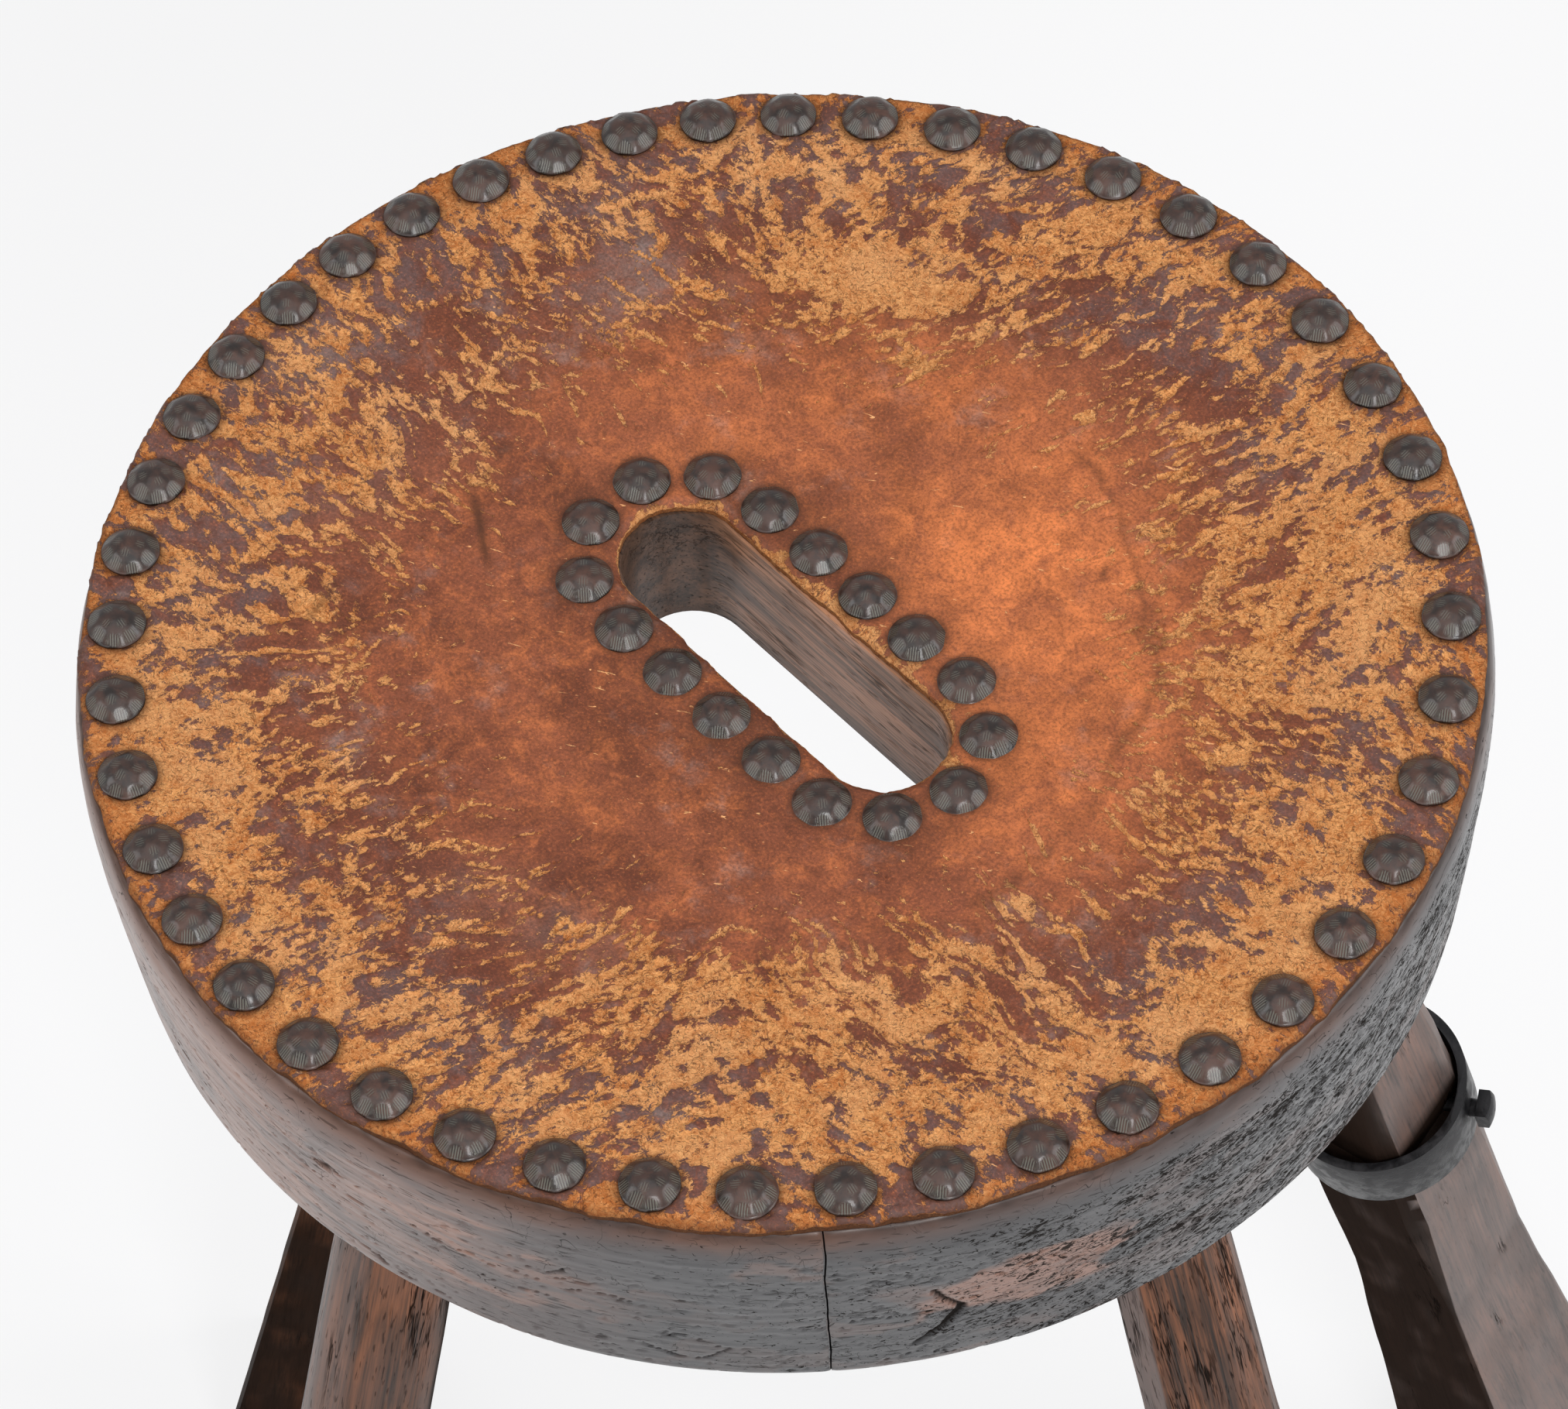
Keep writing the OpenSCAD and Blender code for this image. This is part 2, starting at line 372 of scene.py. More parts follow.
class Nodes:
    """Adds nodes to one tree and links them."""

    def __init__(self, tree: bpy.types.NodeTree) -> None:
        """Keeps the tree."""
        self.tree = tree

    def add(self, kind: str, **settings: object) -> bpy.types.Node:
        """Adds a node.

        Args:
            kind: The node's type.
            settings: Its properties, by name.

        Returns:
            The node.
        """
        node = self.tree.nodes.new(kind)
        for name, value in settings.items():
            setattr(node, name, value)
        return node

    def feed(self, socket: Socket, value: Value | Paint) -> None:
        """Links a socket to an input, or sets the input's own value.

        Args:
            socket: The input.
            value: A socket, a number or a colour.
        """
        if isinstance(value, bpy.types.NodeSocket):
            self.tree.links.new(value, socket)
        else:
            socket.default_value = value

    def math(self, operation: str, first: Value, second: Value = 0.0, clamp: bool = False) -> Socket:
        """One step of arithmetic.

        Args:
            operation: The Math node's name for it.
            first: The first value.
            second: The second value.
            clamp: Whether the result is held between 0 and 1.

        Returns:
            The result.
        """
        node = self.add("ShaderNodeMath", operation=operation, use_clamp=clamp)
        self.feed(node.inputs[0], first)
        self.feed(node.inputs[1], second)
        return node.outputs[0]

    def plus(self, first: Value, second: Value, clamp: bool = False) -> Socket:
        """The sum of two values."""
        return self.math("ADD", first, second, clamp)

    def less(self, first: Value, second: Value) -> Socket:
        """The first value less the second."""
        return self.math("SUBTRACT", first, second)

    def times(self, first: Value, second: Value) -> Socket:
        """The product of two values."""
        return self.math("MULTIPLY", first, second)

    def larger(self, first: Value, second: Value) -> Socket:
        """The larger of two values."""
        return self.math("MAXIMUM", first, second)

    def swing(self, noise: Socket, amount: float) -> Socket:
        """How far a noise lies from its middle, times an amount."""
        return self.times(self.less(noise, NOISE_MIDDLE), amount)

    def lines(self, noise: Socket, core: float, reach: float, strength: float = 1.0) -> Socket:
        """Lines along which a noise crosses its middle, from strength in the core to 0 at the reach."""
        return self.ease(self.math("ABSOLUTE", self.less(noise, NOISE_MIDDLE)), core, reach, strength, 0.0)

    def ease(self, value: Value, low: float, high: float, start: float = 0.0, end: float = 1.0) -> Socket:
        """Eases a value from one level to another.

        Args:
            value: The value.
            low: Where the change begins.
            high: Where it is complete.
            start: The result up to low.
            end: The result from high on.

        Returns:
            The eased value.
        """
        node = self.add("ShaderNodeMapRange", interpolation_type="SMOOTHSTEP", clamp=True)
        for socket, number in zip(node.inputs, (value, low, high, start, end)):
            self.feed(socket, number)
        return node.outputs[0]

    def mix(self, factor: Value, first: Paint, second: Paint) -> Socket:
        """Mixes two colours.

        Args:
            factor: The second colour's share.
            first: The first colour.
            second: The second colour.

        Returns:
            The mixed colour.
        """
        node = self.add("ShaderNodeMix", data_type="RGBA")
        self.feed(node.inputs["Factor"], factor)
        self.feed(node.inputs[6], first)
        self.feed(node.inputs[7], second)
        return node.outputs[2]

    def noise(self, vector: Socket, layer: Layer) -> Socket:
        """Layered noise from about 0 to 1.

        Args:
            vector: Where the point is.
            layer: The noise's size and character.

        Returns:
            The noise.
        """
        if layer.size:
            vector = self.stretch(vector, layer.size, layer.turn)
        node = self.add("ShaderNodeTexNoise")
        self.feed(node.inputs["Vector"], vector)
        node.inputs["Scale"].default_value = layer.scale
        node.inputs["Detail"].default_value = layer.detail
        node.inputs["Roughness"].default_value = layer.rough
        node.inputs["Distortion"].default_value = layer.bend
        return node.outputs["Fac"]

    def cells(self, vector: Socket, scale: float) -> Socket:
        """Distance to the nearest of scattered points.

        Args:
            vector: Where the point is.
            scale: Number of points in a metre.

        Returns:
            The distance, in units of the points' spacing.
        """
        node = self.add("ShaderNodeTexVoronoi", feature="F1")
        self.feed(node.inputs["Vector"], vector)
        node.inputs["Scale"].default_value = scale
        return node.outputs["Distance"]

    def stretch(self, vector: Socket, size: tuple[float, float, float], turn: float) -> Socket:
        """Measures a vector in units of a size, after a turn.

        Args:
            vector: The vector.
            size: The unit along each axis.
            turn: The turn about Z, in degrees.

        Returns:
            The measured vector.
        """
        node = self.add("ShaderNodeMapping", vector_type="TEXTURE")
        self.feed(node.inputs["Vector"], vector)
        node.inputs["Rotation"].default_value = (0.0, 0.0, math.radians(turn))
        node.inputs["Scale"].default_value = size
        return node.outputs[0]

    def value_of(self, name: str) -> Socket:
        """A number stored on the mesh."""
        return self.add("ShaderNodeAttribute", attribute_name=name).outputs["Fac"]

    def vector_of(self, name: str) -> Socket:
        """A vector stored on the mesh."""
        return self.add("ShaderNodeAttribute", attribute_name=name).outputs["Vector"]

    def x_of(self, vector: Socket) -> Socket:
        """The first part of a vector.

        Args:
            vector: The vector.

        Returns:
            Its X.
        """
        node = self.add("ShaderNodeSeparateXYZ")
        self.feed(node.inputs[0], vector)
        return node.outputs[0]

    def place(self) -> Socket:
        """The place in the object's own frame."""
        return self.add("ShaderNodeTexCoord").outputs["Object"]

    def group(self, tree: bpy.types.NodeTree, **inputs: Value) -> dict[str, Socket]:
        """Places a node group.

        Args:
            tree: The group's tree.
            inputs: Values or sockets for its named inputs.

        Returns:
            Its outputs by name.
        """
        node = self.add("ShaderNodeGroup", node_tree=tree)
        for name, value in inputs.items():
            self.feed(node.inputs[name], value)
        return {socket.name: socket for socket in node.outputs}

    def bump(self, height: Socket, depth: float, strength: float) -> Socket:
        """Turns a height into a normal.

        Args:
            height: The height, from about 0 to 1.
            depth: What a height of 1 measures, in metres.
            strength: How strongly the normal follows it.

        Returns:
            The normal.
        """
        node = self.add("ShaderNodeBump")
        node.inputs["Strength"].default_value = strength
        node.inputs["Distance"].default_value = depth
        self.feed(node.inputs["Height"], height)
        return node.outputs[0]


def new_group(name: str, inputs: dict[str, str], outputs: Sequence[str],
              fill: Callable[[Nodes, dict[str, Socket]], dict[str, Socket]]) -> bpy.types.NodeTree:
    """Builds a shader node group once.

    Args:
        name: The group's name.
        inputs: Socket kinds of its inputs, by name.
        outputs: Names of its outputs, which are all numbers.
        fill: Makes the nodes from the inputs and returns the outputs.

    Returns:
        The group's tree.
    """
    tree = bpy.data.node_groups.new(name, "ShaderNodeTree")
    for socket, kind in inputs.items():
        tree.interface.new_socket(socket, in_out="INPUT", socket_type=kind)
    for socket in outputs:
        tree.interface.new_socket(socket, in_out="OUTPUT", socket_type=FLOAT)
    nodes = Nodes(tree)
    made = fill(nodes, {s.name: s for s in nodes.add("NodeGroupInput").outputs if s.name})
    end = nodes.add("NodeGroupOutput")
    for socket, value in made.items():
        tree.links.new(value, end.inputs[socket])
    return tree


@dataclass(frozen=True)
class WoodFigure:
    """Streaks, pores, splits and clouds of wood whose grain runs along X."""

    streaks: Layer = Layer(detail=5.0, rough=0.6, bend=0.6, size=(0.12, 0.006, 0.006))
    fine: Layer = Layer(detail=3.0, rough=0.6, size=(0.03, 0.0007, 0.0007))
    pores: Layer = Layer(detail=2.0, rough=0.5, size=(0.0055, 0.0007, 0.0007))
    split: Layer = Layer(detail=4.0, rough=0.58, bend=0.1, size=(0.060, 0.0042, 0.0042))
    hair: Layer = Layer(detail=3.0, rough=0.58, bend=0.1, size=(0.040, 0.0026, 0.0026))
    zone: Layer = Layer(detail=2.0, rough=0.5, size=(0.045, 0.012, 0.012))
    cloud: Layer = Layer(22.0, 4.0, 0.55, 0.4)

    def fill(self, nodes: Nodes, given: dict[str, Socket]) -> dict[str, Socket]:
        """Makes the group's nodes.

        Args:
            nodes: The group's nodes.
            given: The group's inputs: the place along the grain, and how dry the wood is.

        Returns:
            The group's outputs.
        """
        along = given["Vector"]
        grain = nodes.plus(nodes.times(nodes.noise(along, self.streaks), 0.6),
                           nodes.times(nodes.noise(along, self.fine), 0.4))
        splits = nodes.larger(nodes.lines(nodes.noise(along, self.split), 0.004, 0.026),
                              nodes.lines(nodes.noise(along, self.hair), 0.002, 0.016, 0.9))
        cracked = nodes.plus(nodes.noise(along, self.zone),
                             nodes.times(nodes.less(given["Dry"], EVEN_DRY), 0.30))
        return {
            "Grain": grain,
            "Pores": nodes.ease(nodes.noise(along, self.pores), 0.60, 0.70),
            "Splits": nodes.times(splits, nodes.ease(cracked, 0.48, 0.60)),
            "Cloud": nodes.noise(along, self.cloud),
        }


@dataclass(frozen=True)
class Patina:
    """Mottling and pitting of old dark iron."""

    mottle: Layer = Layer(260.0, 5.0, 0.6, 0.3)
    broad: Layer = Layer(60.0, 3.0, 0.5)
    pits: float = 900.0

    def fill(self, nodes: Nodes, given: dict[str, Socket]) -> dict[str, Socket]:
        """Makes the group's nodes.

        Args:
            nodes: The group's nodes.
            given: The group's input: the place.

        Returns:
            The group's outputs.
        """
        place = given["Vector"]
        return {
            "Mottle": nodes.ease(nodes.noise(place, self.mottle), 0.32, 0.68),
            "Broad": nodes.ease(nodes.noise(place, self.broad), 0.35, 0.65),
            "Pits": nodes.ease(nodes.cells(place, self.pits), 0.12, 0.42),
        }


@dataclass
class Effects:
    """Shader groups that several finishes share."""

    wood_figure: bpy.types.NodeTree = field(init=False)
    patina: bpy.types.NodeTree = field(init=False)

    def __post_init__(self) -> None:
        """Builds each group once."""
        self.wood_figure = new_group("wood_figure", {"Vector": VECTOR, "Dry": FLOAT},
                                     ("Grain", "Pores", "Splits", "Cloud"), WoodFigure().fill)
        self.patina = new_group("patina", {"Vector": VECTOR}, ("Mottle", "Broad", "Pits"), Patina().fill)


def new_material(name: str) -> tuple[bpy.types.Material, Nodes, bpy.types.Node]:
    """Starts a material with a Principled shader.

    Args:
        name: The material's name.

    Returns:
        The material, its node helper and its shader.
    """
    material = bpy.data.materials.new(name)
    material.use_nodes = True
    nodes = Nodes(material.node_tree)
    shader = material.node_tree.nodes["Principled BSDF"]
    return material, nodes, shader


@dataclass(frozen=True)
class HideFinish:
    """Old leather, smooth and red-brown in the middle, scuffed to tan suede outside."""

    deep: Colour = rgb(0.105, 0.030, 0.016)
    red_brown: Colour = rgb(0.225, 0.068, 0.034)
    honey: Colour = rgb(0.80, 0.240, 0.075)
    island: Colour = rgb(0.112, 0.034, 0.021)
    aged: Colour = rgb(0.110, 0.064, 0.060)
    bloom: Colour = rgb(0.30, 0.24, 0.22)
    nap_deep: Colour = rgb(0.42, 0.130, 0.034)
    nap: Colour = rgb(0.80, 0.365, 0.125)
    nap_pale: Colour = rgb(0.76, 0.365, 0.150)
    amber: Colour = rgb(0.50, 0.150, 0.034)
    thread: Colour = rgb(0.86, 0.47, 0.20)
    # darkest brown, for fibre gaps, stains, and painted shadows at the tears, the nails and the edges
    gap: Colour = rgb(0.060, 0.022, 0.010)
    scratch: Colour = rgb(0.78, 0.40, 0.17)
    tear: Layer = Layer(detail=7.0, rough=0.74, bend=0.6, size=(0.0050, 0.0023, 0.0040))
    tear_pull: float = 2.3
    tuft: Layer = Layer(520.0, 7.0, 0.80, 1.2)
    tuft_pull: float = 1.25
    cloud: Layer = Layer(30.0, 6.0, 0.60, 0.5)
    mottle: Layer = Layer(1500.0, 3.0, 0.70)
    felt: Layer = Layer(1500.0, 4.0, 0.7, 1.0)
    patches: Layer = Layer(120.0, 6.0, 0.72, 0.6)
    dust: Layer = Layer(75.0, 5.0, 0.68)
    blotch: Layer = Layer(210.0, 6.0, 0.74, 0.4)
    veins: Layer = Layer(90.0, 8.0, 0.80, 1.2)
    fleck: Layer = Layer(detail=3.0, rough=0.6, bend=0.6, size=(0.0042, 0.0011, 0.004), turn=32.0)
    drift: Layer = Layer(170.0, 5.0, 0.68, 0.6)
    thread_curl: Layer = Layer(620.0, 2.0, 0.5, 1.6)
    gap_curl: Layer = Layer(380.0, 2.0, 0.5, 1.6)
    gloss: tuple[float, float] = (0.40, 0.58)
    nap_rough: float = 0.95
    specular: float = 0.18
    mottle_rise: float = 0.75
    felt_rise: float = 3.2
    torn_rise: float = -1.5
    depth: float = 0.28 * MM

    def make(self) -> bpy.types.Material:
        """Builds the material.

        Returns:
            The material.
        """
        material, nodes, shader = new_material("scuffed_hide")
        place = nodes.place()
        level, upright = (nodes.noise(place, replace(self.tear, turn=turn)) for turn in TEAR_TURNS)
        flow = nodes.value_of("flow")
        rag = nodes.plus(nodes.times(upright, flow), nodes.times(level, nodes.less(1.0, flow)))
        tuft = nodes.noise(place, self.tuft)
        torn = nodes.plus(nodes.value_of("wear"), nodes.swing(rag, self.tear_pull))
        torn = nodes.plus(torn, nodes.swing(tuft, self.tuft_pull))
        suede = nodes.ease(torn, -TEAR_EDGE, TEAR_EDGE)
        cloud = nodes.noise(place, self.cloud)
        mottle = nodes.noise(place, self.mottle)
        colour = nodes.mix(suede, self.face(nodes, place, cloud, mottle),
                           self.fibres(nodes, place, cloud, tuft))
        # painted shadow along the tear's edge, where the face curls up over the suede
        tear_edge_shadow = nodes.ease(nodes.math("ABSOLUTE", nodes.plus(torn, TEAR_EDGE)), 0.0, 0.07, 0.45, 0.0)
        colour = nodes.mix(tear_edge_shadow, colour, self.gap)
        # stains, and painted shade round the nail heads and along the leather's edges
        colour = nodes.mix(nodes.value_of("stain"), colour, self.gap)
        nodes.feed(shader.inputs["Base Color"], colour)
        gloss = nodes.ease(mottle, 0.3, 0.7, *self.gloss)
        nodes.feed(shader.inputs["Roughness"], nodes.larger(gloss, nodes.times(suede, self.nap_rough)))
        shader.inputs["Specular IOR Level"].default_value = self.specular
        felt = nodes.times(nodes.times(nodes.noise(place, self.felt), suede), self.felt_rise)
        height = nodes.plus(nodes.plus(nodes.times(mottle, self.mottle_rise), felt),
                            nodes.times(suede, self.torn_rise))
        nodes.feed(shader.inputs["Normal"], nodes.bump(height, self.depth, 0.9))
        return material

    def face(self, nodes: Nodes, place: Socket, cloud: Socket, mottle: Socket) -> Socket:
        """Colour of the leather where its face is whole.

        Args:
            nodes: The material's nodes.
            place: Where the point is.
            cloud: Broad noise.
            mottle: Fine noise.

        Returns:
            The colour.
        """
        patchy = nodes.noise(place, self.patches)
        colour = nodes.mix(nodes.ease(cloud, 0.42, 0.62), self.deep, self.red_brown)
        colour = nodes.mix(nodes.ease(patchy, 0.44, 0.72, 0.0, 0.42), colour, self.honey)
        aged = nodes.value_of("aged")
        colour = nodes.mix(nodes.ease(aged, 0.0, 0.8, 0.0, 0.8), colour, self.island)
        grey = nodes.plus(aged, nodes.swing(patchy, 2.2))
        colour = nodes.mix(nodes.ease(grey, 0.50, 1.05), colour, self.aged)
        dust = nodes.ease(nodes.noise(place, self.dust), 0.54, 0.76, 0.0, 0.45)
        colour = nodes.mix(nodes.larger(dust, nodes.value_of("bloom")), colour, self.bloom)
        blotch = nodes.noise(place, self.blotch)
        colour = nodes.mix(nodes.ease(blotch, 0.32, 0.60, 0.55, 0.0), colour, self.deep)
        warm = nodes.times(nodes.value_of("honey"), nodes.ease(patchy, 0.30, 0.60, 0.50, 1.0))
        colour = nodes.mix(warm, colour, self.honey)
        veins = nodes.noise(place, self.veins)
        colour = nodes.mix(nodes.ease(veins, 0.47, 0.66, 0.0, 0.62), colour, self.red_brown)
        fleck = nodes.noise(place, self.fleck)
        colour = nodes.mix(nodes.ease(fleck, 0.695, 0.715, 0.0, 0.85), colour, self.scratch)
        colour = nodes.mix(nodes.ease(mottle, 0.54, 0.70, 0.0, 0.22), colour, self.honey)
        return nodes.mix(nodes.ease(mottle, 0.34, 0.56, 0.46, 0.0), colour, self.gap)

    def fibres(self, nodes: Nodes, place: Socket, cloud: Socket, tuft: Socket) -> Socket:
        """Colour of the torn suede.

        Args:
            nodes: The material's nodes.
            place: Where the point is.
            cloud: Broad noise.
            tuft: Fine noise of the fibres.

        Returns:
            The colour.
        """
        colour = nodes.mix(nodes.ease(tuft, 0.38, 0.60), self.nap_deep, self.nap)
        drift = nodes.noise(place, self.drift)
        colour = nodes.mix(nodes.ease(drift, 0.46, 0.68, 0.0, 0.70), colour, self.amber)
        pale = nodes.plus(nodes.value_of("pale"), nodes.ease(cloud, 0.48, 0.66, 0.0, 0.6))
        colour = nodes.mix(nodes.times(pale, nodes.ease(tuft, 0.30, 0.55)), colour, self.nap_pale)
        threads = nodes.lines(nodes.noise(place, self.thread_curl), 0.0, 0.045)
        colour = nodes.mix(nodes.times(threads, 0.55), colour, self.thread)
        edge = nodes.times(nodes.value_of("amber"), nodes.ease(tuft, 0.36, 0.62, 0.95, 0.35))
        colour = nodes.mix(edge, colour, self.amber)
        gaps = nodes.lines(nodes.noise(place, self.gap_curl), 0.0, 0.030)
        return nodes.mix(nodes.times(gaps, 0.72), colour, self.gap)


@dataclass(frozen=True)
class WaxedWoodFinish:
    """Old waxed hardwood with open pores, browner where hands and feet have worn it.

    A dressed piece stores its own grain frame, worn places, soot and painted shade, wax and pits.
    On the legs the worn grey is partly a painted sheen, and on the band the pits hold a painted
    shadow line under the leather's edge. A pitted one also stores how rough it is and where its lip lies.
    """

    name: str
    dark: Colour
    pale: Colour
    worn: Colour | None = None
    splits: float = 0.0
    pitted: bool = False
    grain_span: tuple[float, float] = (0.36, 0.64)
    grain_rise: float = 0.6
    lip: Colour = rgb(0.115, 0.052, 0.032)
    pit: Colour = rgb(0.008, 0.006, 0.005)
    gloss: tuple[float, float] = (0.45, 0.70)
    specular: float = 0.12
    wax: float = 1.0
    wax_rough: float = 0.34
    burnt: tuple[float, float] | None = None
    char: float = 0.76
    depth: float = 0.35 * MM
    small: Layer = Layer(detail=4.0, rough=0.68, bend=1.2, size=(0.0030, 0.0010, 0.004), turn=12.0)
    clump: Layer = Layer(detail=3.0, rough=0.6, size=(0.016, 0.008, 0.01), turn=9.0)
    speck: Layer = Layer(detail=2.0, rough=0.6, bend=0.8, size=(0.0017, 0.0008, 0.004), turn=-24.0)
    curl: Layer = Layer(75.0, 2.0, 0.5, 2.0)
    curl_places: Layer = Layer(48.0, 2.0)

    def make(self, effects: Effects) -> bpy.types.Material:
        """Builds the material.

        Args:
            effects: The shared shader groups.

        Returns:
            The material.
        """
        dressed = self.worn is not None
        material, nodes, shader = new_material(self.name)
        grain_place = nodes.vector_of("grain_frame") if dressed else nodes.place()
        dry = nodes.value_of("dry") if dressed and self.splits else EVEN_DRY
        figure = nodes.group(effects.wood_figure, Vector=grain_place, Dry=dry)
        colour = nodes.mix(nodes.ease(figure["Grain"], *self.grain_span), self.dark, self.pale)
        colour = nodes.mix(nodes.ease(figure["Cloud"], 0.42, 0.70, 0.0, 0.55), colour, self.dark)
        pit = nodes.times(figure["Pores"], nodes.ease(dry, 0.0, EVEN_DRY, 0.12, 0.55))
        if self.splits:
            pit = nodes.larger(pit, nodes.times(figure["Splits"], self.splits))
        if dressed:
            # worn places; on the legs the worn grey also stands for a painted sheen
            wear = nodes.times(nodes.value_of("worn"), nodes.ease(figure["Grain"], 0.28, 0.55, 0.55, 1.0))
            colour = nodes.mix(wear, colour, self.worn)
            # soot, and on the legs painted shade, darkens the wood
            colour = nodes.mix(nodes.value_of("sooty"), colour, self.dark)
            # stored pits, which on the band also hold a painted shadow line under the leather
            pit = nodes.larger(pit, nodes.value_of("pit"))
        if self.pitted:
            colour = nodes.mix(nodes.value_of("lip"), colour, self.lip)
            pit = nodes.larger(pit, self.dashes(nodes, grain_place))
        if self.burnt:
            char = nodes.plus(nodes.x_of(grain_place), nodes.times(figure["Cloud"], 0.016))
            colour = nodes.mix(nodes.ease(char, *self.burnt, self.char, 0.0), colour, self.pit)
        colour = nodes.mix(pit, colour, self.pit)
        nodes.feed(shader.inputs["Base Color"], colour)
        sheen = nodes.ease(figure["Cloud"], 0.3, 0.7, *self.gloss)
        nodes.feed(shader.inputs["Roughness"], nodes.plus(sheen, nodes.times(pit, 0.4), clamp=True))
        shader.inputs["Specular IOR Level"].default_value = self.specular
        shader.inputs["Coat Roughness"].default_value = self.wax_rough
        wax = nodes.times(nodes.less(1.0, pit), self.wax)
        if dressed:
            wax = nodes.times(wax, nodes.value_of("wax"))
        nodes.feed(shader.inputs["Coat Weight"], wax)
        height = nodes.less(nodes.times(figure["Grain"], self.grain_rise), pit)
        nodes.feed(shader.inputs["Normal"], nodes.bump(height, self.depth, 0.7))
        return material

    def dashes(self, nodes: Nodes, vector: Socket) -> Socket:
        """Sharp short pits along the grain, thick where the mesh says the wood is rough.

        Args:
            nodes: The material's nodes.
            vector: The place along the grain.

        Returns:
            1 in a pit and 0 outside.
        """
        rough = nodes.times(nodes.value_of("rough"), 0.115)
        marks = nodes.plus(nodes.times(nodes.noise(vector, self.small), 0.70),
                           nodes.times(nodes.noise(vector, self.clump), 0.30))
        dash = nodes.ease(nodes.plus(marks, rough), 0.640, 0.656, 0.0, 0.95)
        speck = nodes.plus(nodes.noise(vector, self.speck), rough)
        dash = nodes.larger(dash, nodes.ease(speck, 0.705, 0.730, 0.0, 0.9))
        curl = nodes.lines(nodes.noise(vector, self.curl), 0.0, 0.006)
        where = nodes.ease(nodes.noise(vector, self.curl_places), 0.50, 0.60, 0.0, 0.75)
        return nodes.larger(dash, nodes.times(curl, where))


@dataclass(frozen=True)
class IronFinish:
    """Dark old iron with a brown patina, and hatched flats where the mesh stores them."""

    name: str
    dark: Colour
    brown: Colour
    bare: Colour = rgb(0.092, 0.088, 0.070)
    metal: float = 0.55
    gloss: tuple[float, float] = (0.30, 0.50)
    specular: float = 0.25
    hatch_pitch: float = 0.0
    hatch_rise: float = 0.8
    lacquer: float = 0.0
    lacquer_rough: float = 0.16
    depth: float = 0.06 * MM

    def make(self, effects: Effects) -> bpy.types.Material:
        """Builds the material.

        Args:
            effects: The shared shader groups.

        Returns:
            The material.
        """
        material, nodes, shader = new_material(self.name)
        patina = nodes.group(effects.patina, Vector=nodes.place())
        colour = nodes.mix(patina["Mottle"], self.dark, self.brown)
        colour = nodes.mix(nodes.times(patina["Broad"], 0.5), colour, self.dark)
        height = nodes.times(patina["Pits"], 0.5)
        if self.hatch_pitch:
            across = nodes.times(nodes.x_of(nodes.vector_of("hatch")), 2.0 * math.pi / self.hatch_pitch)
            wave = nodes.math("SINE", across)
            flat = nodes.value_of("flat")
            height = nodes.plus(height, nodes.times(nodes.times(wave, flat), self.hatch_rise))
            colour = nodes.mix(nodes.times(nodes.ease(wave, -0.4, 0.7), flat), colour, self.bare)
        nodes.feed(shader.inputs["Base Color"], colour)
        nodes.feed(shader.inputs["Roughness"], nodes.ease(patina["Mottle"], 0.0, 1.0, *self.gloss))
        shader.inputs["Metallic"].default_value = self.metal
        shader.inputs["Specular IOR Level"].default_value = self.specular
        shader.inputs["Coat Weight"].default_value = self.lacquer
        shader.inputs["Coat Roughness"].default_value = self.lacquer_rough
        nodes.feed(shader.inputs["Normal"], nodes.bump(height, self.depth, 0.8))
        return material


class Palette:
    """Every finish of the stool, built once."""

    def __init__(self) -> None:
        """Builds the shared effects and the materials."""
        effects = Effects()
        self.hide = HideFinish().make()
        self.rim = WaxedWoodFinish(
            "waxed_rim", dark=rgb(0.030, 0.030, 0.033), pale=rgb(0.061, 0.059, 0.062),
            worn=rgb(0.300, 0.150, 0.102), pitted=True, grain_span=(0.25, 0.75), grain_rise=0.25,
        ).make(effects)
        # the leg's worn colour is the grey of rubbed arrises and of a painted sheen on faces turned one way
        self.leg = WaxedWoodFinish(
            "shaved_leg", dark=rgb(0.016, 0.009, 0.006), pale=rgb(0.275, 0.100, 0.042),
            worn=rgb(0.165, 0.140, 0.134), splits=0.95, specular=0.0, wax=0.65,
        ).make(effects)
        self.board = WaxedWoodFinish(
            "seat_plank", dark=rgb(0.090, 0.047, 0.028), pale=rgb(0.46, 0.225, 0.125),
            splits=0.6, wax=0.5, burnt=(-0.034, -0.016),
        ).make(effects)
        self.nail = IronFinish(
            "hammered_nail", dark=rgb(0.010, 0.006, 0.005), brown=rgb(0.062, 0.027, 0.018),
            metal=0.0, gloss=(0.30, 0.46), hatch_pitch=0.55 * MM, lacquer=0.22,
        ).make(effects)
        self.collar = IronFinish(
            "forged_collar", dark=rgb(0.008, 0.008, 0.009), brown=rgb(0.026, 0.025, 0.027), metal=0.35,
        ).make(effects)


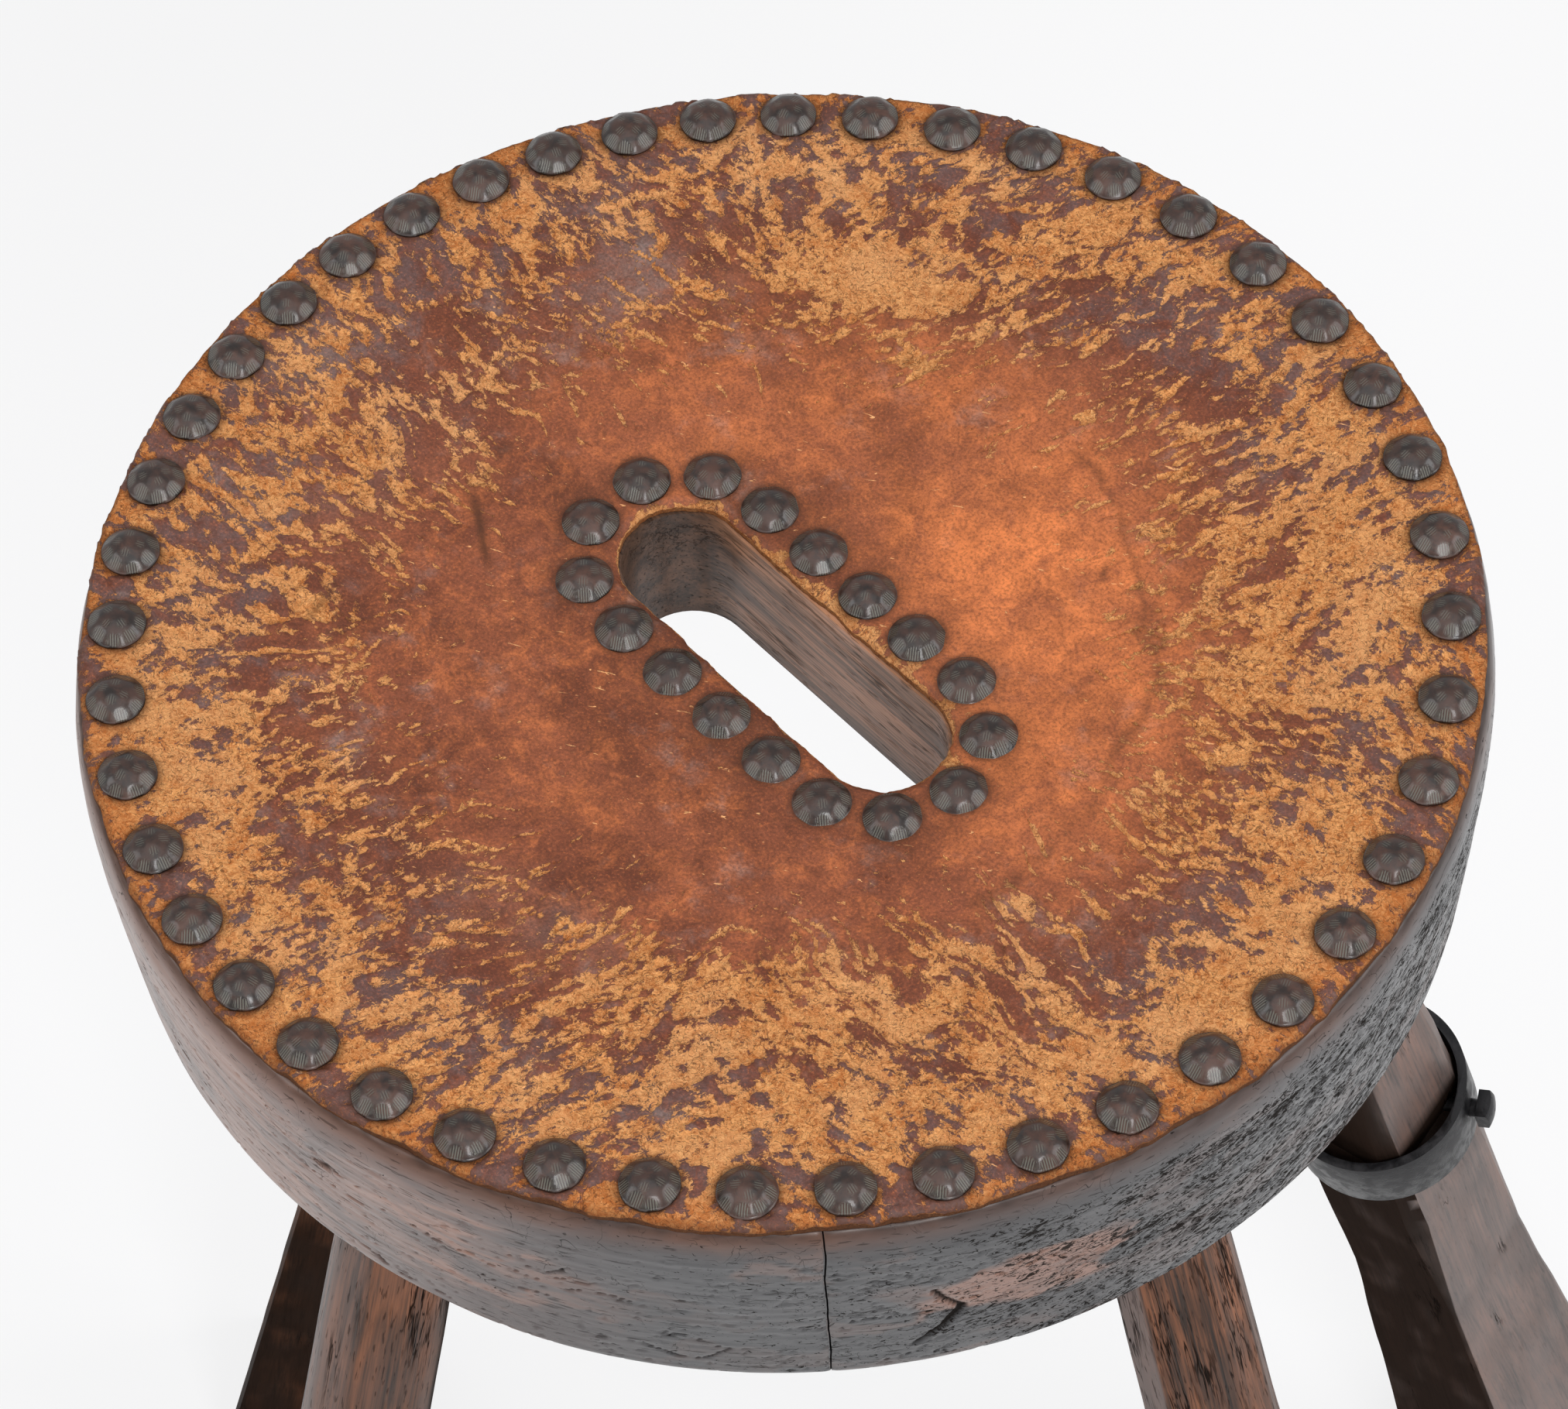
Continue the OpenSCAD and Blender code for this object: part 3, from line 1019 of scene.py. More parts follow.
@dataclass
class Seat:
    """Sizes that the leather, the nails and the rim band share, read from the frame."""

    top: float = field(init=False)
    leather_r: float = field(init=False)
    wood_top: float = field(init=False)
    band_bottom: float = field(init=False)
    band_r: float = field(init=False)
    band_bore_r: float = field(init=False)
    board_bottom: float = field(init=False)
    slot_half_len: float = field(init=False)
    slot_half_w: float = field(init=False)
    dish_depth: float = field(init=False)
    dish_edge_r: float = 136 * MM
    board_play: float = 0.1 * MM
    level_within: float = 0.1 * MM

    def __post_init__(self) -> None:
        """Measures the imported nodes."""
        low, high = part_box("leather_cover")
        self.top = high.z
        self.leather_r = max(high.x, high.y)
        band_low, band_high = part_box("rim_band")
        self.wood_top = band_high.z
        self.band_bottom = band_low.z
        self.band_r = max(band_high.y, -band_low.x)
        board_low, board_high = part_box("seat_board")
        self.board_bottom = board_low.z
        self.band_bore_r = board_high.x + self.board_play
        points = node_points("seat_board")
        near = points[np.hypot(points[:, 0], points[:, 1]) < 0.5 * self.leather_r]
        near = near[np.abs(near[:, 2] - self.board_bottom) < self.level_within]
        self.slot_half_len = np.abs(near[:, 0]).max()
        self.slot_half_w = np.abs(near[:, 1]).max()
        self.dish_depth = self.top - low.z - (self.top - self.wood_top)

    def dish_z(self, r: np.ndarray) -> np.ndarray:
        """Height of the leather's top, which is part of a ball inside the dish's edge.

        Args:
            r: Distance from the middle, in metres.

        Returns:
            The height.
        """
        ball = (self.dish_edge_r ** 2 + self.dish_depth ** 2) / (2.0 * self.dish_depth)
        inside = np.minimum(r, self.dish_edge_r)
        return self.top - self.dish_depth + ball - np.sqrt(ball ** 2 - inside ** 2)

    def slot_outline(self, count: int, grow: float) -> np.ndarray:
        """Points round the hand slot.

        Args:
            count: Number of points, evenly spread along the outline.
            grow: How far outside the wood's edge the points lie.

        Returns:
            The points' X and Y, starting at the +X end and going round from +X to +Y.
        """
        radius = self.slot_half_w + grow
        run = self.slot_half_len - self.slot_half_w
        quarter = 0.5 * math.pi * radius
        whole = 4.0 * run + 4.0 * quarter
        s = np.arange(count) / count * whole
        x = np.empty(count)
        y = np.empty(count)
        stretches = (
            (0.0, quarter, lambda t: (run + radius * np.cos(t / radius), radius * np.sin(t / radius))),
            (quarter, 2 * run, lambda t: (run - t, np.full_like(t, radius))),
            (quarter + 2 * run, 2 * quarter,
             lambda t: (-run - radius * np.sin(t / radius), radius * np.cos(t / radius))),
            (3 * quarter + 2 * run, 2 * run, lambda t: (-run + t, np.full_like(t, -radius))),
            (3 * quarter + 4 * run, quarter,
             lambda t: (run + radius * np.sin(t / radius), -radius * np.cos(t / radius))),
        )
        for start, length, place in stretches:
            here = (s >= start) & (s < start + length + 1e-12)
            x[here], y[here] = place(s[here] - start)
        return np.stack([x, y], -1)


@dataclass(frozen=True)
class Patch:
    """A soft-edged oval place on a surface, in millimetres, with its turn in degrees."""

    x: float
    y: float
    reach: float
    across: float
    turn: float
    amount: float

    def on(self, x: np.ndarray, y: np.ndarray) -> np.ndarray:
        """How much of the patch lies at each point.

        Args:
            x: First coordinates, in millimetres.
            y: Second coordinates, in millimetres.

        Returns:
            The amount in the patch's middle, falling to 0 outside.
        """
        c, s = math.cos(math.radians(self.turn)), math.sin(math.radians(self.turn))
        u = ((x - self.x) * c + (y - self.y) * s) / self.reach
        v = ((y - self.y) * c - (x - self.x) * s) / self.across
        return self.amount * np.exp(-(u * u + v * v))


@dataclass
class HidePoints:
    """The points of the leather's top face, in rows from the slot to the rim.

    x and y are in millimetres from the middle. r and near, the distances from the middle and
    from the nearest nail, are in metres. gap is a row's way from slot to rim in hundredths.
    """

    x: np.ndarray
    y: np.ndarray
    r: np.ndarray
    near: np.ndarray
    gap: np.ndarray
    wear: np.ndarray


@dataclass
class LeatherCover:
    """The leather cover: a closed sheet with its wear modelled in the surface."""

    seat: Seat
    nails: np.ndarray
    columns: int = 1000
    rings: int = 176
    edge_steps: int = 6
    under_step: int = 12
    under_end: int = 10
    thickness: float = 3.5 * MM
    edge_round: float = 1.4 * MM
    rim_inset: float = 0.5 * MM
    slot_inset: float = 0.6 * MM
    rim_ragged: float = 0.7 * MM
    slot_ragged: float = 0.55 * MM
    sink: float = 0.25 * MM
    highest: float = 0.2 * MM
    swell: float = 0.35 * MM
    flake_depth: float = 0.5 * MM
    curl: float = 0.22 * MM
    nap: float = 0.16 * MM
    dent: float = 0.55 * MM
    dent_reach: float = 8.5 * MM
    # Distance from a nail's middle at which a dark place begins to fade, and over how far: first a painted
    # contact shadow and stain close round the head, then a wider stained halo
    nail_shadow_and_stain: tuple[float, float] = (6.0 * MM, 1.3 * MM)
    nail_halo: tuple[float, float] = (5.5 * MM, 5.0 * MM)
    worn: tuple[Patch, ...] = (
        Patch(-58, 80, 21, 11, 33, 0.80),
        Patch(-36, 70, 5, 9, 70, 0.90),
        Patch(68, 106, 30, 18, -35, 0.15),
        Patch(136, 4, 34, 9, 92, 0.35),
        Patch(108, 0, 14, 13, 0, -0.30),
        Patch(118, 46, 22, 15, 110, 0.22),
        Patch(70, 60, 20, 20, 0, 0.36),
        Patch(48, 82, 18, 16, 0, 0.20),
        Patch(88, 30, 18, 14, 60, 0.18),
        Patch(82, -30, 20, 16, 70, 0.28),
        Patch(70, -60, 26, 20, 45, 0.38),
        Patch(40, -76, 20, 14, 0, 0.34),
        Patch(62, -104, 26, 12, 25, -0.08),
        Patch(19, -104, 18, 14, 0, -0.20),
        Patch(-60, -118, 24, 14, -25, 0.22),
        Patch(-90, -34, 20, 16, 10, 0.16),
        Patch(-74, 42, 18, 14, 20, 0.12),
        Patch(-98, 46, 14, 11, 60, -0.28),
        Patch(-118, 28, 20, 12, 70, 0.10),
        Patch(-2, 118, 26, 15, 0, -0.30),
        Patch(-28, 126, 18, 10, 15, 0.20),
        Patch(-126, -60, 20, 10, 60, -0.15),
        Patch(-124, 4, 16, 24, 0, -0.34),
        Patch(-94, -82, 24, 14, -45, -0.18),
        Patch(-112, 54, 22, 15, 65, -0.22),
        Patch(-60, 104, 26, 13, 30, -0.22),
        Patch(108, 62, 20, 14, 120, -0.28),
        Patch(56, 118, 24, 10, -25, -0.12),
    )
    honey: tuple[Patch, ...] = (
        Patch(28, 50, 38, 25, 0, 1.0),
        Patch(-58, 28, 28, 22, 40, 0.42),
        Patch(66, 18, 26, 26, 80, 0.55),
        Patch(-20, 74, 40, 14, 15, 0.5),
        Patch(0, -46, 70, 24, 0, 0.08),
    )
    scars: tuple[Patch, ...] = (
        Patch(-70, -26, 6.5, 1.3, -28, 1.0),
        Patch(-62, -31, 5.5, 1.0, -30, 0.9),
        Patch(-74, -66, 7.0, 0.8, -75, 0.7),
        Patch(34, 62, 3.0, 1.0, -60, 0.7),
    )
    grey: tuple[Patch, ...] = (
        Patch(-126, -19, 14, 9, 80, 0.45),
        Patch(-94, 46, 16, 9, 60, 0.55),
        Patch(-100, -50, 22, 12, 70, 0.25),
        Patch(20, -84, 18, 8, 20, 0.30),
    )

    def outline_rows(self) -> tuple[np.ndarray, np.ndarray]:
        """Lays the sheet out as rows of points between its two ragged edges.

        Returns:
            X and Y of each row's points, and each row's share of the way from the slot to the rim.
        """
        seat = self.seat
        angle = 2.0 * math.pi * np.arange(self.columns) / self.columns
        wobble = Noise(Seed.HIDE_EDGE)
        circle = np.stack([np.cos(angle), np.sin(angle)], -1)
        ragged = self.rim_ragged * wobble.layered(9.0 * circle[:, 0] + 31.0, 9.0 * circle[:, 1] + 7.0, 4, 0.6)
        outer = circle * (seat.leather_r - self.rim_inset + ragged)[:, None]
        inner = seat.slot_outline(self.columns, self.slot_inset)
        ragged = self.slot_ragged * wobble.layered(inner[:, 0] / (9 * MM), inner[:, 1] / (9 * MM), 4, 0.6)
        out = inner / np.linalg.norm(inner, axis=1)[:, None]
        inner = inner + out * ragged[:, None]
        share = np.linspace(0.0, 1.0, self.rings)
        return inner[None] + (outer - inner)[None] * share[:, None, None], share

    def wear_at(self, x: np.ndarray, y: np.ndarray) -> np.ndarray:
        """Wear of the leather's face: above zero, the suede shows.

        Args:
            x: Millimetres from the middle.
            y: Millimetres from the middle.

        Returns:
            The wear at each point.
        """
        broad, fine = Noise(Seed.TEAR_BROAD), Noise(Seed.TEAR_FINE)
        bend, nick = Noise(Seed.TEAR_BEND), Noise(Seed.TEAR_NICK)
        r = np.hypot(x, y) / (self.seat.leather_r / MM)
        wear = -0.90 + 0.74 * smoothstep(0.36, 0.70, r) + 0.31 * smoothstep(0.68, 0.86, r)
        for patch in self.worn:
            wear += patch.on(x, y)
        shift = 7.0 * bend.layered(x / 40.0, y / 40.0, 3)
        upright = self.flow_at(x, y)
        marks = 0.0
        for turn, weight in zip(TEAR_TURNS, (1.0 - upright, upright)):
            c, s = math.cos(math.radians(turn)), math.sin(math.radians(turn))
            u = (x * c + y * s + shift) / 15.0
            v = (y * c - x * s - shift) / 7.5
            lines = 0.40 * broad.layered(u, v, 3, 0.65) + 0.36 * fine.layered(u * 3.2, v * 3.2, 2, 0.7)
            scratch = smoothstep(0.38, 0.75, nick.layered(u * 1.5, v * 5.5, 2, 0.5))
            lines += 0.80 * scratch * smoothstep(0.30, 0.50, r) * (1.0 - smoothstep(0.70, 0.85, r))
            marks = marks + lines * weight
        return wear + marks / np.hypot(1.0 - upright, upright)

    @staticmethod
    def flow_at(x: np.ndarray, y: np.ndarray) -> np.ndarray:
        """How far the tears run front to back: 0 beyond the slot's ends, 1 before and behind it."""
        return smoothstep(0.25, 0.75, (y * y) / np.maximum(x * x + y * y, 1e-6))

    def nail_distance(self, x: np.ndarray, y: np.ndarray) -> np.ndarray:
        """Distance of each point from the nearest nail.

        Args:
            x: X of the points, in metres.
            y: Y of the points, in metres.

        Returns:
            The distance, in metres.
        """
        best = np.full(x.shape, 1.0)
        for nail in self.nails:
            best = np.minimum(best, np.hypot(x - nail[0], y - nail[1]))
        return best

    def relief(self, spot: HidePoints) -> np.ndarray:
        """Height of the top face: the dish, less what is torn off, with curled edges and dents.

        Args:
            spot: The top face's points.

        Returns:
            The points' Z, in metres.
        """
        suede = smoothstep(-TEAR_EDGE, TEAR_EDGE, spot.wear)
        curl = np.exp(-((spot.wear + 0.12) / 0.09) ** 2)
        nap = Noise(Seed.HIDE_NAP).layered(spot.x / 1.6, spot.y / 1.6, 2)
        swell = Noise(Seed.HIDE_SWELL).layered(spot.x / 40.0, spot.y / 40.0, 3)
        dent = np.exp(-(spot.near / self.dent_reach) ** 2)
        edge = self.edge_round
        drop = np.maximum(np.minimum(spot.r - self.seat.leather_r + edge + self.rim_inset, edge), 0.0)
        rim_round = edge - np.sqrt(np.maximum(edge ** 2 - drop ** 2, 0.0))
        lip = edge * np.exp(-(spot.gap / 1.1) ** 2)
        dish = self.seat.dish_z(spot.r)
        z = dish - self.sink
        z += self.swell * swell - self.flake_depth * suede + self.curl * curl * (1.0 - suede)
        z += self.nap * nap * suede - self.dent * dent - rim_round - lip
        return np.minimum(z, dish + self.highest)

    def build(self) -> bpy.types.Object:
        """Makes the closed sheet: the worn top, the two edges and a plain underside.

        Returns:
            The leather object.
        """
        rows, share = self.outline_rows()
        x, y = rows[..., 0], rows[..., 1]
        spot = HidePoints(x=x / MM, y=y / MM, r=np.hypot(x, y), near=self.nail_distance(x, y),
                          gap=share[:, None] * 100.0, wear=self.wear_at(x / MM, y / MM))
        z = self.relief(spot)
        under = self.seat.dish_z(spot.r) - self.thickness
        steps = np.linspace(0.25, 1.0, self.edge_steps)
        outer_side = [np.stack([x[-1], y[-1], z[-1] + (under[-1] - z[-1]) * t], -1) for t in steps]
        inner_side = [np.stack([x[0], y[0], z[0] + (under[0] - z[0]) * t], -1) for t in steps[::-1]]
        under_rows = range(self.rings - self.under_step, self.under_end, -self.under_step)
        underside = [np.stack([x[k], y[k], under[k]], -1) for k in under_rows]
        points = np.concatenate([np.stack([x, y, z], -1), outer_side, underside, inner_side])
        faces = grid_faces(len(points), self.columns, tube=True)
        piece = new_piece("leather_hide", points.reshape(-1, 3), faces[:, ::-1])
        self.dress(piece, spot, len(points) - self.rings)
        return piece

    def dress(self, piece: bpy.types.Object, spot: HidePoints, extra: int) -> None:
        """Stores what the leather's material reads.

        Args:
            piece: The leather object.
            spot: The top face's points.
            extra: Number of rows on the edges and the underside.
        """
        out = spot.r / self.seat.leather_r
        mask = Noise(Seed.HIDE_CLOUD).layered(spot.x / 26.0, spot.y / 26.0, 4, 0.55)
        honey = sum(patch.on(spot.x, spot.y) for patch in self.honey) * (0.80 + 0.4 * mask)
        bloom = sum(patch.on(spot.x, spot.y) for patch in self.grey) * (0.8 + 0.9 * mask)
        pale = 0.25 * self.worn[0].on(spot.x, spot.y)
        pale = pale + 0.5 * smoothstep(0.1, 0.5, mask) * smoothstep(0.5, 0.7, out)
        frayed = 0.55 + 0.9 * Noise(Seed.SLOT_FRAY).layered(spot.x / 7.0, spot.y / 7.0, 3, 0.6)
        fray = 0.4 + 4.2 * smoothstep(-4.0, 9.0, spot.y) * np.clip(frayed, 0.0, 1.0)
        slot_edge = np.exp(-(spot.gap / fray) ** 2)
        spared = smoothstep(0.05, 0.45, Noise(Seed.SPARED_EDGE).layered(spot.x / 20.0, spot.y / 20.0, 3, 0.6))
        spared = spared * smoothstep(0.88, 0.95, out)
        wear = spot.wear + 0.10 * smoothstep(0.955, 0.995, out) - 0.40 * spared + 1.2 * slot_edge
        # painted shade: the outer cut edge, darkest where it meets the rim; the slot's edge and the underside
        # less so
        edge_shade = np.where(np.arange(extra) < self.edge_steps, 0.90, 0.60)[:, None]
        tail = np.ones((extra, self.columns))
        for name, top, rest in (
            ("flow", self.flow_at(spot.x, spot.y), 0.5),
            ("wear", wear, 0.5),
            ("aged", smoothstep(0.40, 0.95, out + 0.12 * mask), 1.0),
            ("honey", honey, 0.0),
            ("bloom", bloom, 0.0),
            ("pale", pale * (1.0 - smoothstep(0.90, 0.97, out)), 0.0),
            ("amber", smoothstep(0.915, 0.975, out + 0.02 * mask), 0.8),
            ("stain", self.stain_and_shade_at(spot, out, mask), edge_shade),
        ):
            set_value(piece, name, np.concatenate([np.clip(top, -2.0, 2.0), rest * tail]))

    @staticmethod
    def fade(distance: np.ndarray, start: float, spread: float) -> np.ndarray:
        """1 up to a start, falling to 0 over a spread."""
        return np.exp(-(np.maximum(distance - start, 0.0) / spread) ** 2)

    def stain_and_shade_at(self, spot: HidePoints, out: np.ndarray, mask: np.ndarray) -> np.ndarray:
        """Dark places: stains and painted contact shadows round the nails, a dark line along a crease, the
        scars, and painted shade at the rim's edge.

        Args:
            spot: The top face's points.
            out: Each point's share of the way from the middle to the rim.
            mask: Broad noise.

        Returns:
            How dark each point is.
        """
        # painted contact shadow and stain in a dark ring round each nail head
        stain = 0.68 * self.fade(spot.near, *self.nail_shadow_and_stain)
        inner = 1.0 - smoothstep(0.42, 0.60, out)
        halo = self.fade(spot.near, *self.nail_halo)
        stain = np.maximum(stain, 0.34 * inner * halo * np.clip(0.75 + 0.9 * mask, 0.0, 1.2))
        ring = np.exp(-((out - 0.52 - 0.03 * mask) / 0.008) ** 2)
        arc = smoothstep(0.70, 0.97, (0.70 * spot.x + 0.71 * spot.y) * MM / spot.r)
        stain = np.maximum(stain, 0.40 * ring * np.maximum(smoothstep(0.0, 0.4, mask), arc))
        scar = 0.85 * sum(patch.on(spot.x, spot.y) for patch in self.scars)
        stain = np.clip(np.maximum(stain, scar), 0.0, 0.85)
        # painted shade at the leather's very edge, where it meets the rim
        return np.maximum(stain, 0.55 * smoothstep(0.982, 1.0, out))


@dataclass(frozen=True)
class FlatRing:
    """A ring of hammered flats on a nail's head.

    tilt is the ring's share of the way from crown to rim, depth a flat's depth as a share of
    the ball's radius, and hatched how strongly the flats are scored.
    """

    count: int
    tilt: float
    depth: float
    hatched: float


@dataclass
class HammeredNails:
    """Domed nail heads struck to a ring of small flats."""

    node: str
    name: str
    seed: int
    rings: int = 16
    columns: int = 44
    foot: float = 0.5 * MM
    flat_edge: float = 0.35
    flat_rings: tuple[FlatRing, ...] = (FlatRing(8, 0.80, 0.031, 1.0), FlatRing(4, 0.34, 0.013, 0.55))

    def centres(self) -> np.ndarray:
        """Middle of each head's underside, and its radius and height.

        Returns:
            X, Y, Z, radius and height of each nail.
        """
        rows = []
        for solid in islands(self.node):
            low, high = solid.min(0), solid.max(0)
            head = solid[solid[:, 2] > high[2] - 0.3 * (high[2] - low[2])]
            middle = 0.5 * (head.min(0) + head.max(0))
            radius = 0.25 * ((head[:, 0].max() - head[:, 0].min()) + (head[:, 1].max() - head[:, 1].min()))
            rows.append((middle[0], middle[1], self.head_foot(solid, radius), radius, high[2]))
        nails = np.array(rows)
        nails[:, 4] -= nails[:, 2]
        return nails

    @staticmethod
    def head_foot(solid: np.ndarray, radius: float) -> float:
        """Height at which the head's underside lies.

        Args:
            solid: The nail's points.
            radius: The head's radius.

        Returns:
            The lowest height of the points that lie too far out for the shank.
        """
        middle = 0.5 * (solid.min(0) + solid.max(0))
        wide = np.hypot(solid[:, 0] - middle[0], solid[:, 1] - middle[1]) > 0.6 * radius
        return float(solid[wide, 2].min())

    def build(self) -> bpy.types.Object:
        """Makes all heads as one object of separate solids.

        Returns:
            The nails' object.
        """
        rng = np.random.default_rng(int(self.seed))
        points, faces, flats, hatches = [], [], [], []
        start = 0
        for nail in self.centres():
            head, flat, hatch = self.head(nail[3], nail[4], rng)
            points.append(head + nail[:3])
            flats.append(flat)
            hatches.append(hatch)
            faces.extend(self.faces(start))
            start += len(head)
        piece = new_piece(self.name, np.concatenate(points), faces)
        set_value(piece, "flat", np.concatenate(flats))
        set_vector(piece, "hatch", np.concatenate(hatches))
        return piece

    def faces(self, start: int) -> list[Sequence[int]]:
        """Faces of one head.

        Args:
            start: The number of the head's first point, its crown.

        Returns:
            Point numbers of each face.
        """
        rows = self.rings + 3
        quads = grid_faces(rows, self.columns)[:, ::-1] + start + 1
        column = np.arange(self.columns)
        after = (column + 1) % self.columns
        crown = [(start, start + 1 + a, start + 1 + b) for a, b in zip(column, after)]
        base = start + 1 + (rows - 1) * self.columns
        foot = [tuple(base + c for c in column[::-1])]
        return crown + quads.tolist() + foot

    def head(self, radius: float, height: float, rng: np.random.Generator) -> tuple[np.ndarray, ...]:
        """One head: a cap of a ball cut by small flats.

        Args:
            radius: Radius of the head.
            height: Height of the dome.
            rng: Source of the small differences between the nails.

        Returns:
            The points, how far each lies inside a flat, and the places that the hatching follows.
        """
        ball = (radius ** 2 + height ** 2) / (2.0 * height)
        spread = math.asin(radius / ball)
        tilt = spread * np.linspace(0.0, 1.0, self.rings + 1)[1:]
        turn = 2.0 * math.pi * np.arange(self.columns) / self.columns
        ways = [np.array([[0.0, 0.0, 1.0]])]
        for t in tilt:
            ways.append(np.stack([math.sin(t) * np.cos(turn), math.sin(t) * np.sin(turn),
                                  np.full_like(turn, math.cos(t))], -1))
        way = np.concatenate(ways)
        reach = np.full(len(way), ball)
        flat = np.zeros(len(way))
        hatch = np.zeros((len(way), 3))
        for normal, depth, hatched in self.flats(spread, rng):
            facing = way @ normal
            plane = (ball - depth * ball) / np.maximum(facing, 1e-6)
            cut = (facing > 0.2) & (plane < reach)
            reach[cut] = plane[cut]
            rim = math.sqrt(2.0 * depth)
            inside = rim - np.sqrt(np.maximum(2.0 - 2.0 * facing, 0.0))
            inside = np.clip(inside / (self.flat_edge * rim), 0.0, 1.0)
            better = inside > flat
            flat[better] = inside[better] * hatched
            side = np.cross(normal, [0.0, 0.0, 1.0])
            length = np.linalg.norm(side)
            side = side / length if length > 0.05 else np.array([1.0, 0.0, 0.0])
            hatch[better, 0] = (way[better] * ball) @ side
        dome = way * reach[:, None] - [0.0, 0.0, ball - height]
        rim_row = dome[-self.columns:] * [1.0, 1.0, 0.0]
        skirt = [rim_row, rim_row - [0.0, 0.0, self.foot], 0.5 * rim_row - [0.0, 0.0, self.foot]]
        tail = len(skirt) * self.columns
        return (np.concatenate([dome] + skirt), np.concatenate([flat, np.zeros(tail)]),
                np.concatenate([hatch, np.zeros((tail, 3))]))

    def flats(self, spread: float, rng: np.random.Generator) -> list[tuple[np.ndarray, float, float]]:
        """One head's flats, each a little off its place.

        Args:
            spread: The angle from crown to rim, in radians.
            rng: Source of the small differences.

        Returns:
            Each flat's direction, its depth, and how strongly it is hatched.
        """
        made = []
        for ring in self.flat_rings:
            start = rng.uniform(0.0, 2.0 * math.pi)
            for k in range(ring.count):
                turn = start + 2.0 * math.pi * (k + rng.uniform(-0.14, 0.14)) / ring.count
                tilt = spread * ring.tilt * rng.uniform(0.92, 1.08)
                normal = np.array([math.sin(tilt) * math.cos(turn), math.sin(tilt) * math.sin(turn),
                                   math.cos(tilt)])
                made.append((normal, ring.depth * rng.uniform(0.75, 1.2), ring.hatched))
        return made


@dataclass
class BandPoints:
    """The points of the rim band, in rows down its section and columns round the stool.

    arc, the way along the outside from the seam, and depth, the way down from the wood's top,
    are in millimetres. side runs from -1 on the stool's left to 1 on its right, and rough is
    how weathered the wood is.
    """

    arc: np.ndarray
    depth: np.ndarray
    side: np.ndarray
    rough: np.ndarray


